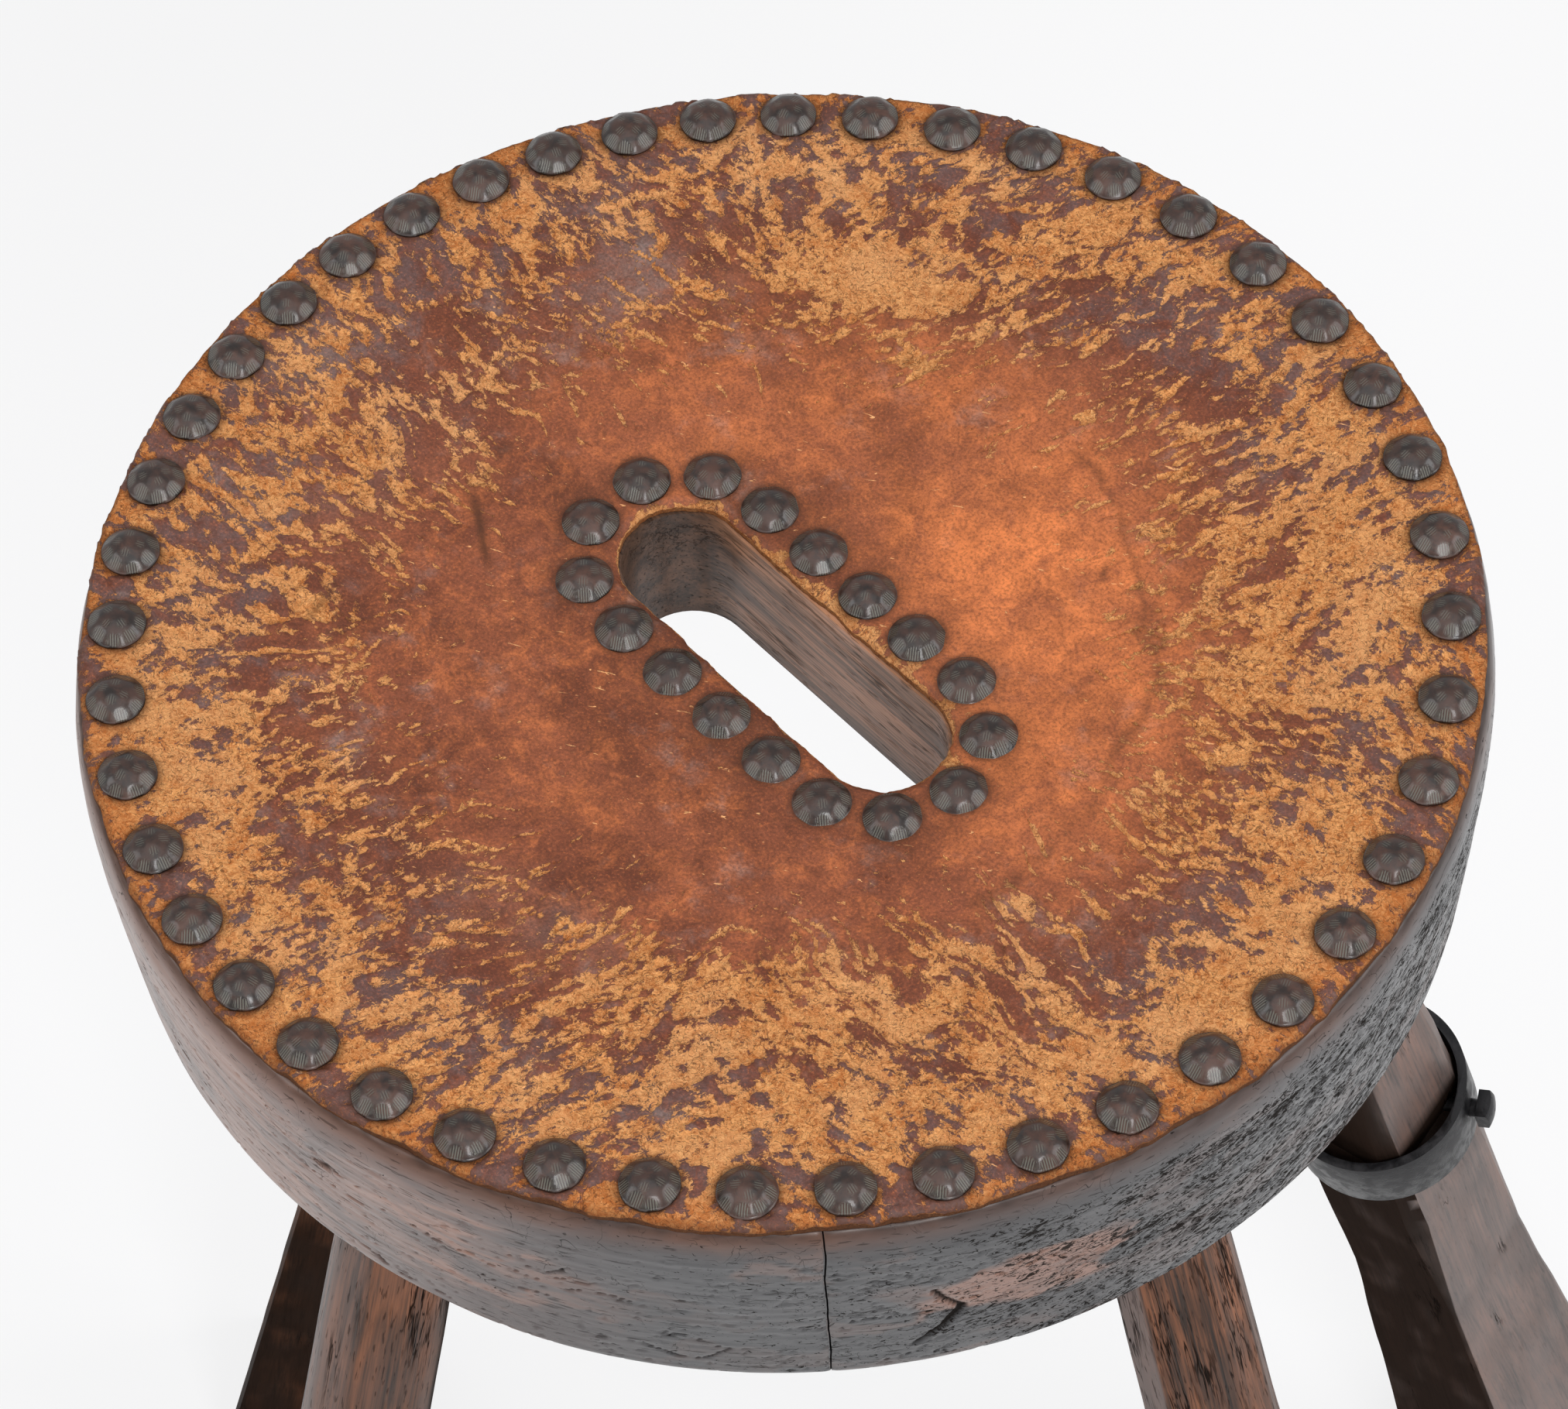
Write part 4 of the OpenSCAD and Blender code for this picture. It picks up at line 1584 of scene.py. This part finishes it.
@dataclass
class RimBand:
    """The bent hoop round the seat, with its worn lip, open pores, cracks and end joint."""

    seat: Seat
    columns: int = 1250
    wall_rows: int = 82
    lip_rows: int = 14
    foot_rows: int = 8
    seam_turn: float = -38.5
    rubbed_turn: float = -38.6
    seam_gap: float = 0.24 * MM
    seam_columns: tuple[float, ...] = (-1.5, -0.8, -0.5, -0.25, 0.0, 0.25, 0.5, 0.8)
    seam_depth: float = 2.5 * MM
    seam_sway: float = 0.3 * MM
    sway_reach: float = 6.0 * MM
    hollow_reach: float = 1.0 * MM
    groove_stop: float = 8.0 * MM
    lip_height: float = 9.5 * MM
    lip_under: float = 1.2 * MM
    lip_dent: float = 0.35 * MM
    lip_sink: float = 0.2 * MM
    foot_in: float = 3.5 * MM
    foot_round: float = 3.0 * MM
    bore_ease: float = 1.5 * MM
    # Ends of the hidden slope on the bore: out from the bore, and down from the wood's top
    bore_slope: tuple[tuple[float, float], ...] = ((0.0, 3.0 * MM), (6.0 * MM, 1.2 * MM))
    # Wood next to the bore that stays plain, and the width over which marks begin
    plain_wood: float = 8.0 * MM
    marks_ease: float = 3.0 * MM
    crease: float = 60.0
    # Heights and depths of the marks in the surface, in millimetres
    pit_depth: float = 0.25
    crack_depth: float = 0.75
    ripple_height: float = 0.08
    dent_depth: float = 0.30
    seam_hollow: float = 0.20
    proudest: float = 0.25
    bare_patch: Patch = Patch(44, 32, 24, 12, -8, 1.0)
    split: tuple[tuple[float, float], ...] = ((22, 27), (24, 31), (28, 36), (24, 43), (18, 49))

    def profile(self) -> np.ndarray:
        """Radius and height of the band's section, from the lip down the wall and up the bore.

        Returns:
            The section's points.
        """
        seat = self.seat
        lip_r = seat.leather_r - self.lip_under
        quarter = np.linspace(0.0, 0.5 * math.pi, self.lip_rows)
        lip = np.stack([lip_r + (seat.band_r - lip_r) * np.sin(quarter),
                        seat.wood_top - self.lip_height * (1.0 - np.cos(quarter))], -1)
        foot_r = seat.band_r - self.foot_in
        share = np.linspace(0.0, 1.0, self.wall_rows)[1:-1]
        low = seat.band_bottom + self.foot_round
        wall = np.stack([seat.band_r + (foot_r - seat.band_r) * share ** 1.25,
                         lip[-1, 1] + (low - lip[-1, 1]) * share], -1)
        turn = np.linspace(0.0, 0.5 * math.pi, self.foot_rows)
        foot = np.stack([foot_r - self.foot_round * (1.0 - np.cos(turn)),
                         low - self.foot_round * np.sin(turn)], -1)
        bore = np.array([[seat.band_bore_r + self.bore_ease, seat.band_bottom],
                         [seat.band_bore_r, seat.band_bottom + self.bore_ease],
                         [seat.band_bore_r, seat.board_bottom]]
                        + [[seat.band_bore_r + out, seat.wood_top - down] for out, down in self.bore_slope])
        return np.concatenate([lip, wall, foot, bore])

    def build(self) -> bpy.types.Object:
        """Makes the band, with its seam, pits, cracks and dents in the surface.

        Returns:
            The band's object.
        """
        section = self.profile()
        around = 2.0 * math.pi * self.seat.band_r
        evenly = np.linspace(1.5 * self.seam_gap, around - 2.2 * self.seam_gap, self.columns)
        place = np.concatenate([np.array(self.seam_columns) * self.seam_gap, evenly])
        columns = len(place)
        arc, depth = np.meshgrid(place / MM, (self.seat.wood_top - section[:, 1]) / MM)
        radius = np.repeat(section[:, :1], columns, 1)
        height = np.repeat(section[:, 1:], columns, 1)
        apart = np.minimum(np.abs(place), around - place)[None, :]
        sway = self.seam_sway * Noise(Seed.SEAM_SWAY).layered(depth / 13.0, 0.0 * depth, 3)
        sway = sway * np.exp(-(apart / self.sway_reach) ** 2)
        turn = math.radians(self.seam_turn) + (place[None, :] + sway) / self.seat.band_r
        side = np.sin(turn - math.radians(self.rubbed_turn))
        spot = BandPoints(arc, depth, side, rough=smoothstep(-0.50, 0.62, side))
        pits, cracks = self.pits(spot), self.cracks(spot)
        lip = np.exp(-(depth / 9.0) ** 2)
        dents = Noise(Seed.BAND_DENTS).layered(arc / 34.0, depth / 22.0, 3)
        ripple = Noise(Seed.BAND_RIPPLE).layered(arc / 26.0, depth / 1.5, 2)
        push = -self.pit_depth * pits - self.crack_depth * cracks
        push = push + self.ripple_height * ripple + self.dent_depth * dents * (0.4 + lip)
        push -= self.seam_hollow * np.exp(-(apart / self.hollow_reach) ** 2)
        seam = 1.0 - smoothstep(0.25 * self.seam_gap, 0.6 * self.seam_gap, apart)
        groove = self.seam_depth * seam
        groove = groove * smoothstep(0.0, self.groove_stop, height - self.seat.band_bottom)
        outside = smoothstep(0.0, self.marks_ease, radius - self.seat.band_bore_r - self.plain_wood)
        radius = radius + (np.minimum(push, self.proudest) * MM - groove) * outside
        height = height + self.lip_dent * dents * lip * outside - self.lip_sink * lip
        points = np.stack([radius * np.cos(turn), radius * np.sin(turn), height], -1).reshape(-1, 3)
        faces = grid_faces(len(section), columns, tube=True)[:, ::-1]
        piece = new_piece("rim_hoop", points, faces)
        piece.data.set_sharp_from_angle(angle=math.radians(self.crease))
        set_vector(piece, "grain_frame", np.stack([arc * MM, height, radius], -1))
        self.dress(piece, spot, 0.12 * pits + cracks + 0.8 * seam)
        return piece

    def dress(self, piece: bpy.types.Object, spot: BandPoints, pit: np.ndarray) -> None:
        """Stores what the band's material reads.

        Args:
            piece: The band's object.
            spot: Its points.
            pit: How deep each point lies in a pit, a crack or the seam.
        """
        arc, depth = spot.arc, spot.depth
        bend = Noise(Seed.RUB_BEND).layered(arc / 24.0, depth / 12.0, 3)
        patchy = Noise(Seed.BAND_RUBS).layered((arc + 9.0 * bend) / 52.0, (depth + 6.0 * bend) / 15.0, 4, 0.6)
        rubbed = smoothstep(0.05, 0.60, patchy + 0.25 * smoothstep(20.0, 50.0, depth))
        rubbed = rubbed * (1.0 - 0.7 * spot.rough)
        rubbed = rubbed * (0.40 + 0.60 * smoothstep(0.10, 0.55, -spot.side))
        bare = self.bare_patch.on(arc, depth) + 0.35 * patchy
        rubbed = np.maximum(rubbed, 0.9 * smoothstep(0.34, 0.62, bare))
        brown = 0.70 * smoothstep(0.15, 0.80, -spot.side) * (0.9 + 0.3 * patchy)
        lip = 1.15 * np.exp(-(depth / 4.5) ** 2) * (1.0 + 0.5 * patchy) * (1.0 - 0.6 * spot.rough)
        lip = lip * (1.0 - 0.20 * smoothstep(0.10, 0.70, -spot.side))
        # dark line along the band's top edge under the leather: the wood's dark edge and a painted shadow of
        # the gap; it is stored with the pits
        bead_shadow = np.exp(-(depth / 2.0) ** 2)
        bead_shadow = bead_shadow * (0.70 + 0.30 * Noise(Seed.BAND_BEAD).layered(arc / 5.0, depth, 2))
        around = 2.0 * math.pi * self.seat.band_r / MM
        from_seam = (arc + 0.5 * around) % around - 0.5 * around
        smoked = np.exp(-((from_seam + 26.0) / 34.0) ** 2) * smoothstep(12.0, 30.0, depth)
        smoked = smoked * (0.75 + 0.6 * patchy)
        sooty = 0.40 * smoothstep(0.0, 0.5, -patchy) * (1.0 - np.exp(-(depth / 9.0) ** 2))
        for name, values in (
            ("lip", lip),
            ("rough", spot.rough * smoothstep(3.0, 9.0, depth)),
            ("worn", np.maximum(0.8 * rubbed, brown)),
            ("sooty", np.maximum(sooty, 0.80 * smoked)),
            ("pit", pit + 0.72 * bead_shadow),
            ("wax", np.ones_like(depth)),
        ):
            set_value(piece, name, np.clip(values, 0.0, 1.0))

    @staticmethod
    def pits(spot: BandPoints) -> np.ndarray:
        """Open pores and pits, drawn out along the grain and thicker where the band is rough.

        Args:
            spot: The band's points.

        Returns:
            1 in a pit and 0 outside.
        """
        drift = 5.0 * Noise(Seed.PIT_DRIFT).layered(spot.arc / 30.0, spot.depth / 14.0, 2)
        slant = spot.depth + 0.10 * spot.arc + drift
        fine = Noise(Seed.PIT_FINE).layered(spot.arc / 4.2, slant / 1.3, 3, 0.75)
        clump = Noise(Seed.PIT_CLUMP).layered(spot.arc / 16.0, slant / 6.0, 2)
        level = 0.86 - 0.36 * spot.rough
        return smoothstep(level, level + 0.18, fine + 0.45 * clump) * smoothstep(4.0, 13.0, spot.depth)

    def cracks(self, spot: BandPoints) -> np.ndarray:
        """Longer dark splits and scratches in a few places, and the torn split beside the seam.

        Args:
            spot: The band's points.

        Returns:
            1 in a crack and 0 outside.
        """
        arc, depth = spot.arc, spot.depth
        sway = 3.0 * Noise(Seed.CRACK_SWAY).layered(arc / 18.0, depth / 18.0, 3)
        ridge = np.abs(Noise(Seed.CRACK_RIDGE).layered((arc + sway) / 42.0, (depth + sway) / 7.0, 2))
        where = smoothstep(0.15, 0.45, Noise(Seed.CRACK_PLACES).layered(arc / 38.0, depth / 20.0, 2))
        long = (1.0 - smoothstep(0.0, 0.035, ridge)) * where
        stray = np.abs(Noise(Seed.NICK_RIDGE).layered((arc + 2.0 * sway) / 16.0, (depth - sway) / 16.0, 2))
        nicks = (1.0 - smoothstep(0.0, 0.022, stray)) * spot.rough
        nicks = nicks * smoothstep(0.1, 0.4, Noise(Seed.NICK_PLACES).at(arc / 12.0, depth / 12.0))
        gap = np.full(arc.shape, 99.0)
        for (a0, d0), (a1, d1) in zip(self.split, self.split[1:]):
            run = ((arc - a0) * (a1 - a0) + (depth - d0) * (d1 - d0)) / ((a1 - a0) ** 2 + (d1 - d0) ** 2)
            run = np.clip(run, 0.0, 1.0)
            gap = np.minimum(gap, np.hypot(arc - a0 - run * (a1 - a0), depth - d0 - run * (d1 - d0)))
        torn = 1.0 - smoothstep(0.2, 0.8, gap + 0.25 * sway)
        return np.maximum(np.maximum(long, torn), 0.8 * nicks) * smoothstep(8.0, 14.0, depth)


@dataclass(frozen=True)
class LegWear:
    """How one leg has been shaved and has aged, how strong its painted grey sheen is, and how much darker it
    is made towards the foot, each from 0 to 1.
    """

    rounding: float
    dry: float
    sheen_side: float
    darker_below: float


# Per leg: rounding, dryness, painted grey sheen on faces turned one way, and darkening towards the foot
LEG_WEAR = {
    Side.RIGHT: LegWear(0.10, 0.62, 0.75, 0.20),
    Side.BACK: LegWear(0.30, 0.0, 0.0, 0.10),
    Side.LEFT: LegWear(0.30, 0.0, 0.0, 0.80),
    Side.FRONT: LegWear(0.85, 0.42, 0.40, 0.20),
}
# Direction across the seat in which the legs' faces with a painted grey sheen look
SHEEN_WAY = (-0.624, -0.781, 0.0)


@dataclass
class Leg:
    """A hand-shaved leg, made from its own solid with eased arrises and slight waves."""

    side: Side
    seat: Seat
    merge: float = 0.01 * MM
    flat: float = 0.6
    crease: float = 28.0
    arris: float = 1.5 * MM
    sharpest: float = 12.0
    shortest: float = 8.0 * MM
    foot_within: float = 0.5 * MM
    top_within: float = 6.0 * MM
    cut_step: float = 7.0 * MM
    turn_cuts: int = 24
    wave: float = 0.30 * MM
    wave_length: float = 45 * MM
    rub_length: float = 30 * MM
    seat_clear: float = 1.0 * MM
    shave_clear: tuple[float, float] = (4.0 * MM, 3.0 * MM)
    round_start: float = 15.0 * MM
    round_run: float = 60.0 * MM
    collar_half: float = 11.0 * MM
    grain_shift: float = 0.37
    low: Vector = field(init=False)
    up: Vector = field(init=False)

    def __post_init__(self) -> None:
        """Finds the foot's middle and the direction up the leg."""
        points = node_points(f"leg_{self.side.value}")
        foot = points[points[:, 2] < self.foot_within]
        top = points[points[:, 2] > points[:, 2].max() - self.top_within]
        self.low = Vector(0.5 * (foot.min(0) + foot.max(0)))
        self.up = (Vector(0.5 * (top.min(0) + top.max(0))) - self.low).normalized()

    def along(self, spot: Vector) -> float:
        """How far up the leg a place lies."""
        return (spot - self.low).dot(self.up)

    def collar_along(self) -> float:
        """How far up the leg the middle of its collar lies."""
        collar_low, collar_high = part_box(f"collar_{self.side.value}")
        return self.along(0.5 * (Vector(collar_low) + Vector(collar_high)))

    def build(self) -> bpy.types.Object:
        """Makes the leg: eases its arrises, cuts it into short lengths, rounds and shaves it.

        Returns:
            The leg's object.
        """
        book = open_solid(f"leg_{self.side.value}", self.merge, self.flat)
        edge_layer = book.verts.layers.float.new("arris")
        below = self.seat.board_bottom - self.seat_clear
        sharp = [edge for edge in sharp_edges(book, self.sharpest)
                 if edge.calc_length() > self.shortest and max(v.co.z for v in edge.verts) < below]
        made = bmesh.ops.bevel(book, geom=sharp, offset=self.arris, segments=3, profile=0.6,
                               affect="EDGES", clamp_overlap=True)
        for face in made["faces"]:
            for vert in face.verts:
                vert[edge_layer] = 1.0
        for spot, normal in self.cuts():
            bmesh.ops.bisect_plane(book, geom=book.verts[:] + book.edges[:] + book.faces[:],
                                   plane_co=spot, plane_no=normal)
        self.round_off(book)
        book.normal_update()
        self.shave(book)
        piece = close_solid(book, f"shaved_leg_{self.side.value}", self.crease)
        self.dress(piece)
        return piece

    def cuts(self) -> list[tuple[Vector, Vector]]:
        """Planes that cut the leg across into short lengths, and along its axis all round.

        Returns:
            A point and a normal for each plane.
        """
        length = (self.seat.board_bottom - self.low.z) / self.up.z
        steps = range(1, int(length / self.cut_step))
        planes = [(self.low + self.up * (k * self.cut_step), self.up) for k in steps]
        across = self.up.cross(UP).normalized()
        for k in range(self.turn_cuts):
            turn = math.pi * (k + 0.5) / self.turn_cuts
            planes.append((self.low, across * math.cos(turn) + across.cross(self.up) * math.sin(turn)))
        return planes

    def round_off(self, book: bmesh.types.BMesh) -> None:
        """Wears the arrises between collar and seat towards a round section.

        Args:
            book: The leg's open mesh.
        """
        start = self.collar_along() + self.round_start
        below = self.seat.board_bottom - self.seat_clear
        rows: dict[int, list[bmesh.types.BMVert]] = {}
        for vert in book.verts:
            along = self.along(vert.co)
            if along > start and vert.co.z < below:
                rows.setdefault(round(along / self.cut_step), []).append(vert)
        for verts in rows.values():
            feet = [self.low + self.up * self.along(v.co) for v in verts]
            radii = np.array([(v.co - foot).length for v, foot in zip(verts, feet)])
            ease = float(smoothstep(start, start + self.round_run, np.array(self.along(verts[0].co))))
            limit = radii.max() - LEG_WEAR[self.side].rounding * ease * (radii.max() - radii.min())
            for vert, foot, radius in zip(verts, feet, radii):
                if radius > limit:
                    vert.co = foot + (vert.co - foot) * float(limit / radius)

    def shave(self, book: bmesh.types.BMesh) -> None:
        """Moves the points of the shaved faces in and out by a little.

        Args:
            book: The leg's open mesh.
        """
        noise = Noise(Seed.LEG_WAVES + self.side.number)
        lowest, below = self.shave_clear[0], self.seat.board_bottom - self.shave_clear[1]
        verts = [v for v in book.verts if lowest < v.co.z < below]
        along = np.array([self.along(v.co) for v in verts])
        turn = np.array([math.atan2(v.co.y - self.low.y, v.co.x - self.low.x) for v in verts])
        push = self.wave * np.minimum(noise.layered(along / self.wave_length, turn * 2.0, 2), 0.4)
        for vert, amount in zip(verts, push):
            vert.co += vert.normal * float(amount)

    def dress(self, piece: bpy.types.Object) -> None:
        """Stores what the leg's material reads.

        Args:
            piece: The leg's object.
        """
        across = self.up.cross(UP).normalized()
        points = np.array([v.co for v in piece.data.vertices]) - np.array(self.low)
        local = np.stack([points @ np.array(way) for way in (self.up, across, across.cross(self.up))], -1)
        set_vector(piece, "grain_frame", local + [self.grain_shift * self.side.number, 0.0, 0.0])
        arris = np.zeros(len(points), np.float32)
        piece.data.attributes["arris"].data.foreach_get("value", arris)
        turn = np.arctan2(local[:, 2], local[:, 1])
        rub = Noise(Seed.LEG_RUBS + self.side.number).layered(local[:, 0] / self.rub_length, turn * 1.5, 3)
        normals = np.array([v.normal for v in piece.data.vertices])
        inward = normals @ np.array(Vector((-self.low.x, -self.low.y, 0.0)).normalized())
        # painted shade: faces turned in towards the stool's middle, under the seat, are darkened and lose
        # most of their wax
        shaded = smoothstep(0.10, 0.65, inward)
        wear = LEG_WEAR[self.side]
        # painted grey sheen on the faces turned towards SHEEN_WAY, not on shaded ones
        grey = wear.sheen_side * smoothstep(0.35, 0.62, normals @ np.array(SHEEN_WAY)) * (1.0 - shaded)
        share = local[:, 0] / (self.seat.board_bottom / self.up.z)
        # paler towards the foot: rubbed wear, partly a painted grey sheen
        rubbed = 0.75 * (1.0 - smoothstep(0.45, 0.85, share)) * (1.0 - wear.darker_below)
        worn = np.maximum(np.maximum(arris * (0.25 + 0.5 * rub), grey), rubbed)
        # darker towards the foot, in colour and with less wax
        darker_below = wear.darker_below * (1.0 - smoothstep(0.55, 0.85, share))
        # painted shade: inside the collar the leg is made nearly black, as the gap between collar and leg is
        # in shade
        banded = np.abs(local[:, 0] - self.collar_along()) < self.collar_half
        sooty = np.where(banded, 0.95, np.maximum(shaded, darker_below) + 0.3 * rub)
        set_value(piece, "worn", np.clip(worn, 0.0, 1.0))
        set_value(piece, "sooty", np.clip(sooty, 0.0, 0.95))
        set_value(piece, "wax", np.where(banded, 0.05, (1.0 - 0.97 * shaded) * (1.0 - 0.8 * darker_below)))
        set_value(piece, "dry", wear.dry * smoothstep(0.50, 0.80, share))
        set_value(piece, "pit", np.zeros(len(points)))


@dataclass
class Ironwork:
    """A collar or a bolt, made from its own solid with eased edges."""

    node: str
    name: str
    merge: float = 0.005 * MM
    flat: float = 0.5
    crease: float = 35.0
    ease: float = 0.5 * MM
    sharpest: float = 40.0

    def build(self) -> bpy.types.Object:
        """Makes the piece.

        Returns:
            The ironwork's object.
        """
        book = open_solid(self.node, self.merge, self.flat)
        bmesh.ops.bevel(book, geom=sharp_edges(book, self.sharpest), offset=self.ease, segments=2,
                        profile=0.6, affect="EDGES", clamp_overlap=True)
        return close_solid(book, self.name, self.crease)


@dataclass
class PhotoCamera:
    """A camera that sees the seat as the photograph does."""

    image: tuple[float, float] = (2025.0, 1820.0)
    focal_px: float = 8215.0
    seat_px: tuple[float, float] = (1008.7, 801.4)
    distance: float = 1.350
    elevation: float = 53.35
    azimuth: float = -38.6
    roll: float = -3.76
    sensor: float = 36.0
    clip: tuple[float, float] = (0.05, 50.0)

    def build(self, target: Vector) -> bpy.types.Object:
        """Makes the scene's camera.

        Args:
            target: The middle of the seat's top.

        Returns:
            The camera.
        """
        back = direction(self.azimuth, self.elevation)
        data = bpy.data.cameras.new("camera")
        data.sensor_width = self.sensor
        data.lens = self.focal_px * self.sensor / self.image[0]
        data.clip_start, data.clip_end = self.clip
        camera = link_object("camera", data)
        aim = (-back).to_track_quat("-Z", "Y")
        rolled = aim.to_matrix() @ Matrix.Rotation(math.radians(self.roll), 3, "Z")
        seen = Vector((self.seat_px[0] - 0.5 * self.image[0], 0.5 * self.image[1] - self.seat_px[1],
                       -self.focal_px)).normalized()
        lean = seen.rotation_difference(-UP)
        camera.rotation_mode = "QUATERNION"
        camera.rotation_quaternion = (rolled @ lean.to_matrix()).to_quaternion()
        camera.location = target + back * self.distance
        bpy.context.scene.camera = camera
        return camera


@dataclass(frozen=True)
class Softbox:
    """A square lamp that faces the seat.

    Its direction from the seat is in degrees, its distance and side in metres and its power in
    watts.
    """

    name: str
    azimuth: float
    elevation: float
    distance: float
    size: float
    power: float

    def build(self, target: Vector) -> None:
        """Adds the lamp.

        Args:
            target: What it faces.
        """
        way = direction(self.azimuth, self.elevation)
        data = bpy.data.lights.new(self.name, "AREA")
        data.size = self.size
        data.energy = self.power
        lamp = link_object(self.name, data)
        lamp.location = target + way * self.distance
        lamp.rotation_euler = (-way).to_track_quat("-Z", "Y").to_euler()


@dataclass
class Studio:
    """Pale floor, soft lamps and a plain white surround."""

    floor_size: float = 40.0
    floor_colour: Colour = rgb(0.90, 0.90, 0.905)
    floor_glow: Colour = rgb(0.985, 0.985, 0.99)
    sky: Colour = rgb(0.97, 0.97, 0.98)
    sky_seen: float = 0.98
    world_light: float = 0.24
    camera_white: float = 0.78
    lamps: tuple[Softbox, ...] = (
        Softbox("top_softbox", -60.0, 72.0, 2.1, 2.4, 26.0),
        Softbox("front_softbox", -25.0, 38.0, 2.2, 0.6, 26.0),
        Softbox("right_softbox", 40.0, 30.0, 2.4, 1.2, 28.0),
        Softbox("left_softbox", -120.0, 30.0, 2.4, 1.2, 20.0),
    )

    def build(self, target: Vector) -> None:
        """Makes the floor, the world and the lamps.

        Args:
            target: The middle of the seat's top.
        """
        half = 0.5 * self.floor_size
        corners = np.array([[-half, -half, 0], [half, -half, 0], [half, half, 0], [-half, half, 0]])
        floor = new_piece("floor", corners, [(0, 1, 2, 3)])
        floor.data.materials.append(self.floor_material())
        self.world()
        for lamp in self.lamps:
            lamp.build(target)

    def floor_material(self) -> bpy.types.Material:
        """A matt white that keeps a faint shadow where the camera sees it.

        Returns:
            The material.
        """
        material = bpy.data.materials.new("floor_paper")
        material.use_nodes = True
        nodes = Nodes(material.node_tree)
        material.node_tree.nodes.clear()
        matt = nodes.add("ShaderNodeBsdfDiffuse")
        matt.inputs["Color"].default_value = self.floor_colour
        glow = nodes.add("ShaderNodeEmission")
        glow.inputs["Color"].default_value = self.floor_glow
        mix = nodes.add("ShaderNodeMixShader")
        nodes.feed(mix.inputs[0], nodes.times(self.seen(nodes), self.camera_white))
        nodes.feed(mix.inputs[1], matt.outputs[0])
        nodes.feed(mix.inputs[2], glow.outputs[0])
        end = nodes.add("ShaderNodeOutputMaterial")
        nodes.feed(end.inputs["Surface"], mix.outputs[0])
        return material

    def world(self) -> None:
        """A white surround that lights the stool evenly."""
        world = bpy.data.worlds.new("surround")
        bpy.context.scene.world = world
        world.use_nodes = True
        nodes = Nodes(world.node_tree)
        back = world.node_tree.nodes["Background"]
        back.inputs["Color"].default_value = self.sky
        nodes.feed(back.inputs["Strength"],
                   nodes.ease(self.seen(nodes), 0.0, 1.0, self.world_light, self.sky_seen))

    @staticmethod
    def seen(nodes: Nodes) -> Socket:
        """1 where the camera sees the surface, also in a reflection or through glass.

        Args:
            nodes: The nodes of the floor or the world.

        Returns:
            The value.
        """
        path = nodes.add("ShaderNodeLightPath")
        mirrored = nodes.plus(path.outputs["Is Glossy Ray"], path.outputs["Is Transmission Ray"])
        return nodes.plus(path.outputs["Is Camera Ray"], mirrored, clamp=True)


class Stool:
    """All the stool's pieces, built and dressed in order."""

    def __init__(self, palette: Palette) -> None:
        """Keeps the finishes and reads the seat's sizes."""
        self.palette = palette
        self.seat = Seat()

    def settle(self, piece: bpy.types.Object, material: bpy.types.Material, slot: Slot, *nodes: str) -> None:
        """Dresses a piece and lets it ride in place of its CAD nodes.

        Args:
            piece: The new piece.
            material: Its finish.
            slot: A material slot; not used.
            nodes: The nodes it stands for.
        """
        piece.data.materials.append(material)
        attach(piece, BODY)
        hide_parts(*nodes)
        LOG.info("%s: %d points", piece.name, len(piece.data.vertices))

    def build(self) -> None:
        """Builds every piece."""
        rim_nails = HammeredNails("rim_nails", "rim_nail_heads", Seed.RIM_NAILS)
        slot_nails = HammeredNails("slot_nails", "slot_nail_heads", Seed.SLOT_NAILS)
        nails = np.concatenate([rim_nails.centres(), slot_nails.centres()])
        hide = LeatherCover(self.seat, nails).build()
        self.settle(hide, self.palette.hide, Slot.HIDE, "leather_cover")
        for nail in (rim_nails, slot_nails):
            self.settle(nail.build(), self.palette.nail, Slot.NAIL_IRON, nail.node)
        self.settle(RimBand(self.seat).build(), self.palette.rim, Slot.SEAT_WOOD, "rim_band")
        for side in Side:
            where = side.value
            self.settle(Leg(side, self.seat).build(), self.palette.leg, Slot.LEG_WOOD, f"leg_{where}")
            for iron in (Ironwork(f"collar_{where}", f"forged_collar_{where}"),
                         Ironwork(f"collar_bolt_{where}", f"square_bolt_{where}")):
                self.settle(iron.build(), self.palette.collar, Slot.COLLAR_IRON, iron.node)
            self.coat(f"leg_wedge_{where}", self.palette.board)
        self.coat("seat_board", self.palette.board)

    @staticmethod
    def coat(node: str, material: bpy.types.Material) -> None:
        """Gives a CAD node that stays in view its finish.

        Args:
            node: The node's name.
            material: Its finish.
        """
        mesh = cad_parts[node].data
        mesh.materials.clear()
        mesh.materials.append(material)


def main() -> None:
    """Builds the stool, its camera and its light."""
    logging.basicConfig(level=logging.INFO, format="%(name)s %(message)s")
    scene = bpy.context.scene
    scene.view_settings.view_transform = "Standard"
    stool = Stool(Palette())
    stool.build()
    target = Vector((0.0, 0.0, stool.seat.top))
    PhotoCamera().build(target)
    Studio().build(target)


if __name__ == "__main__":
    main()
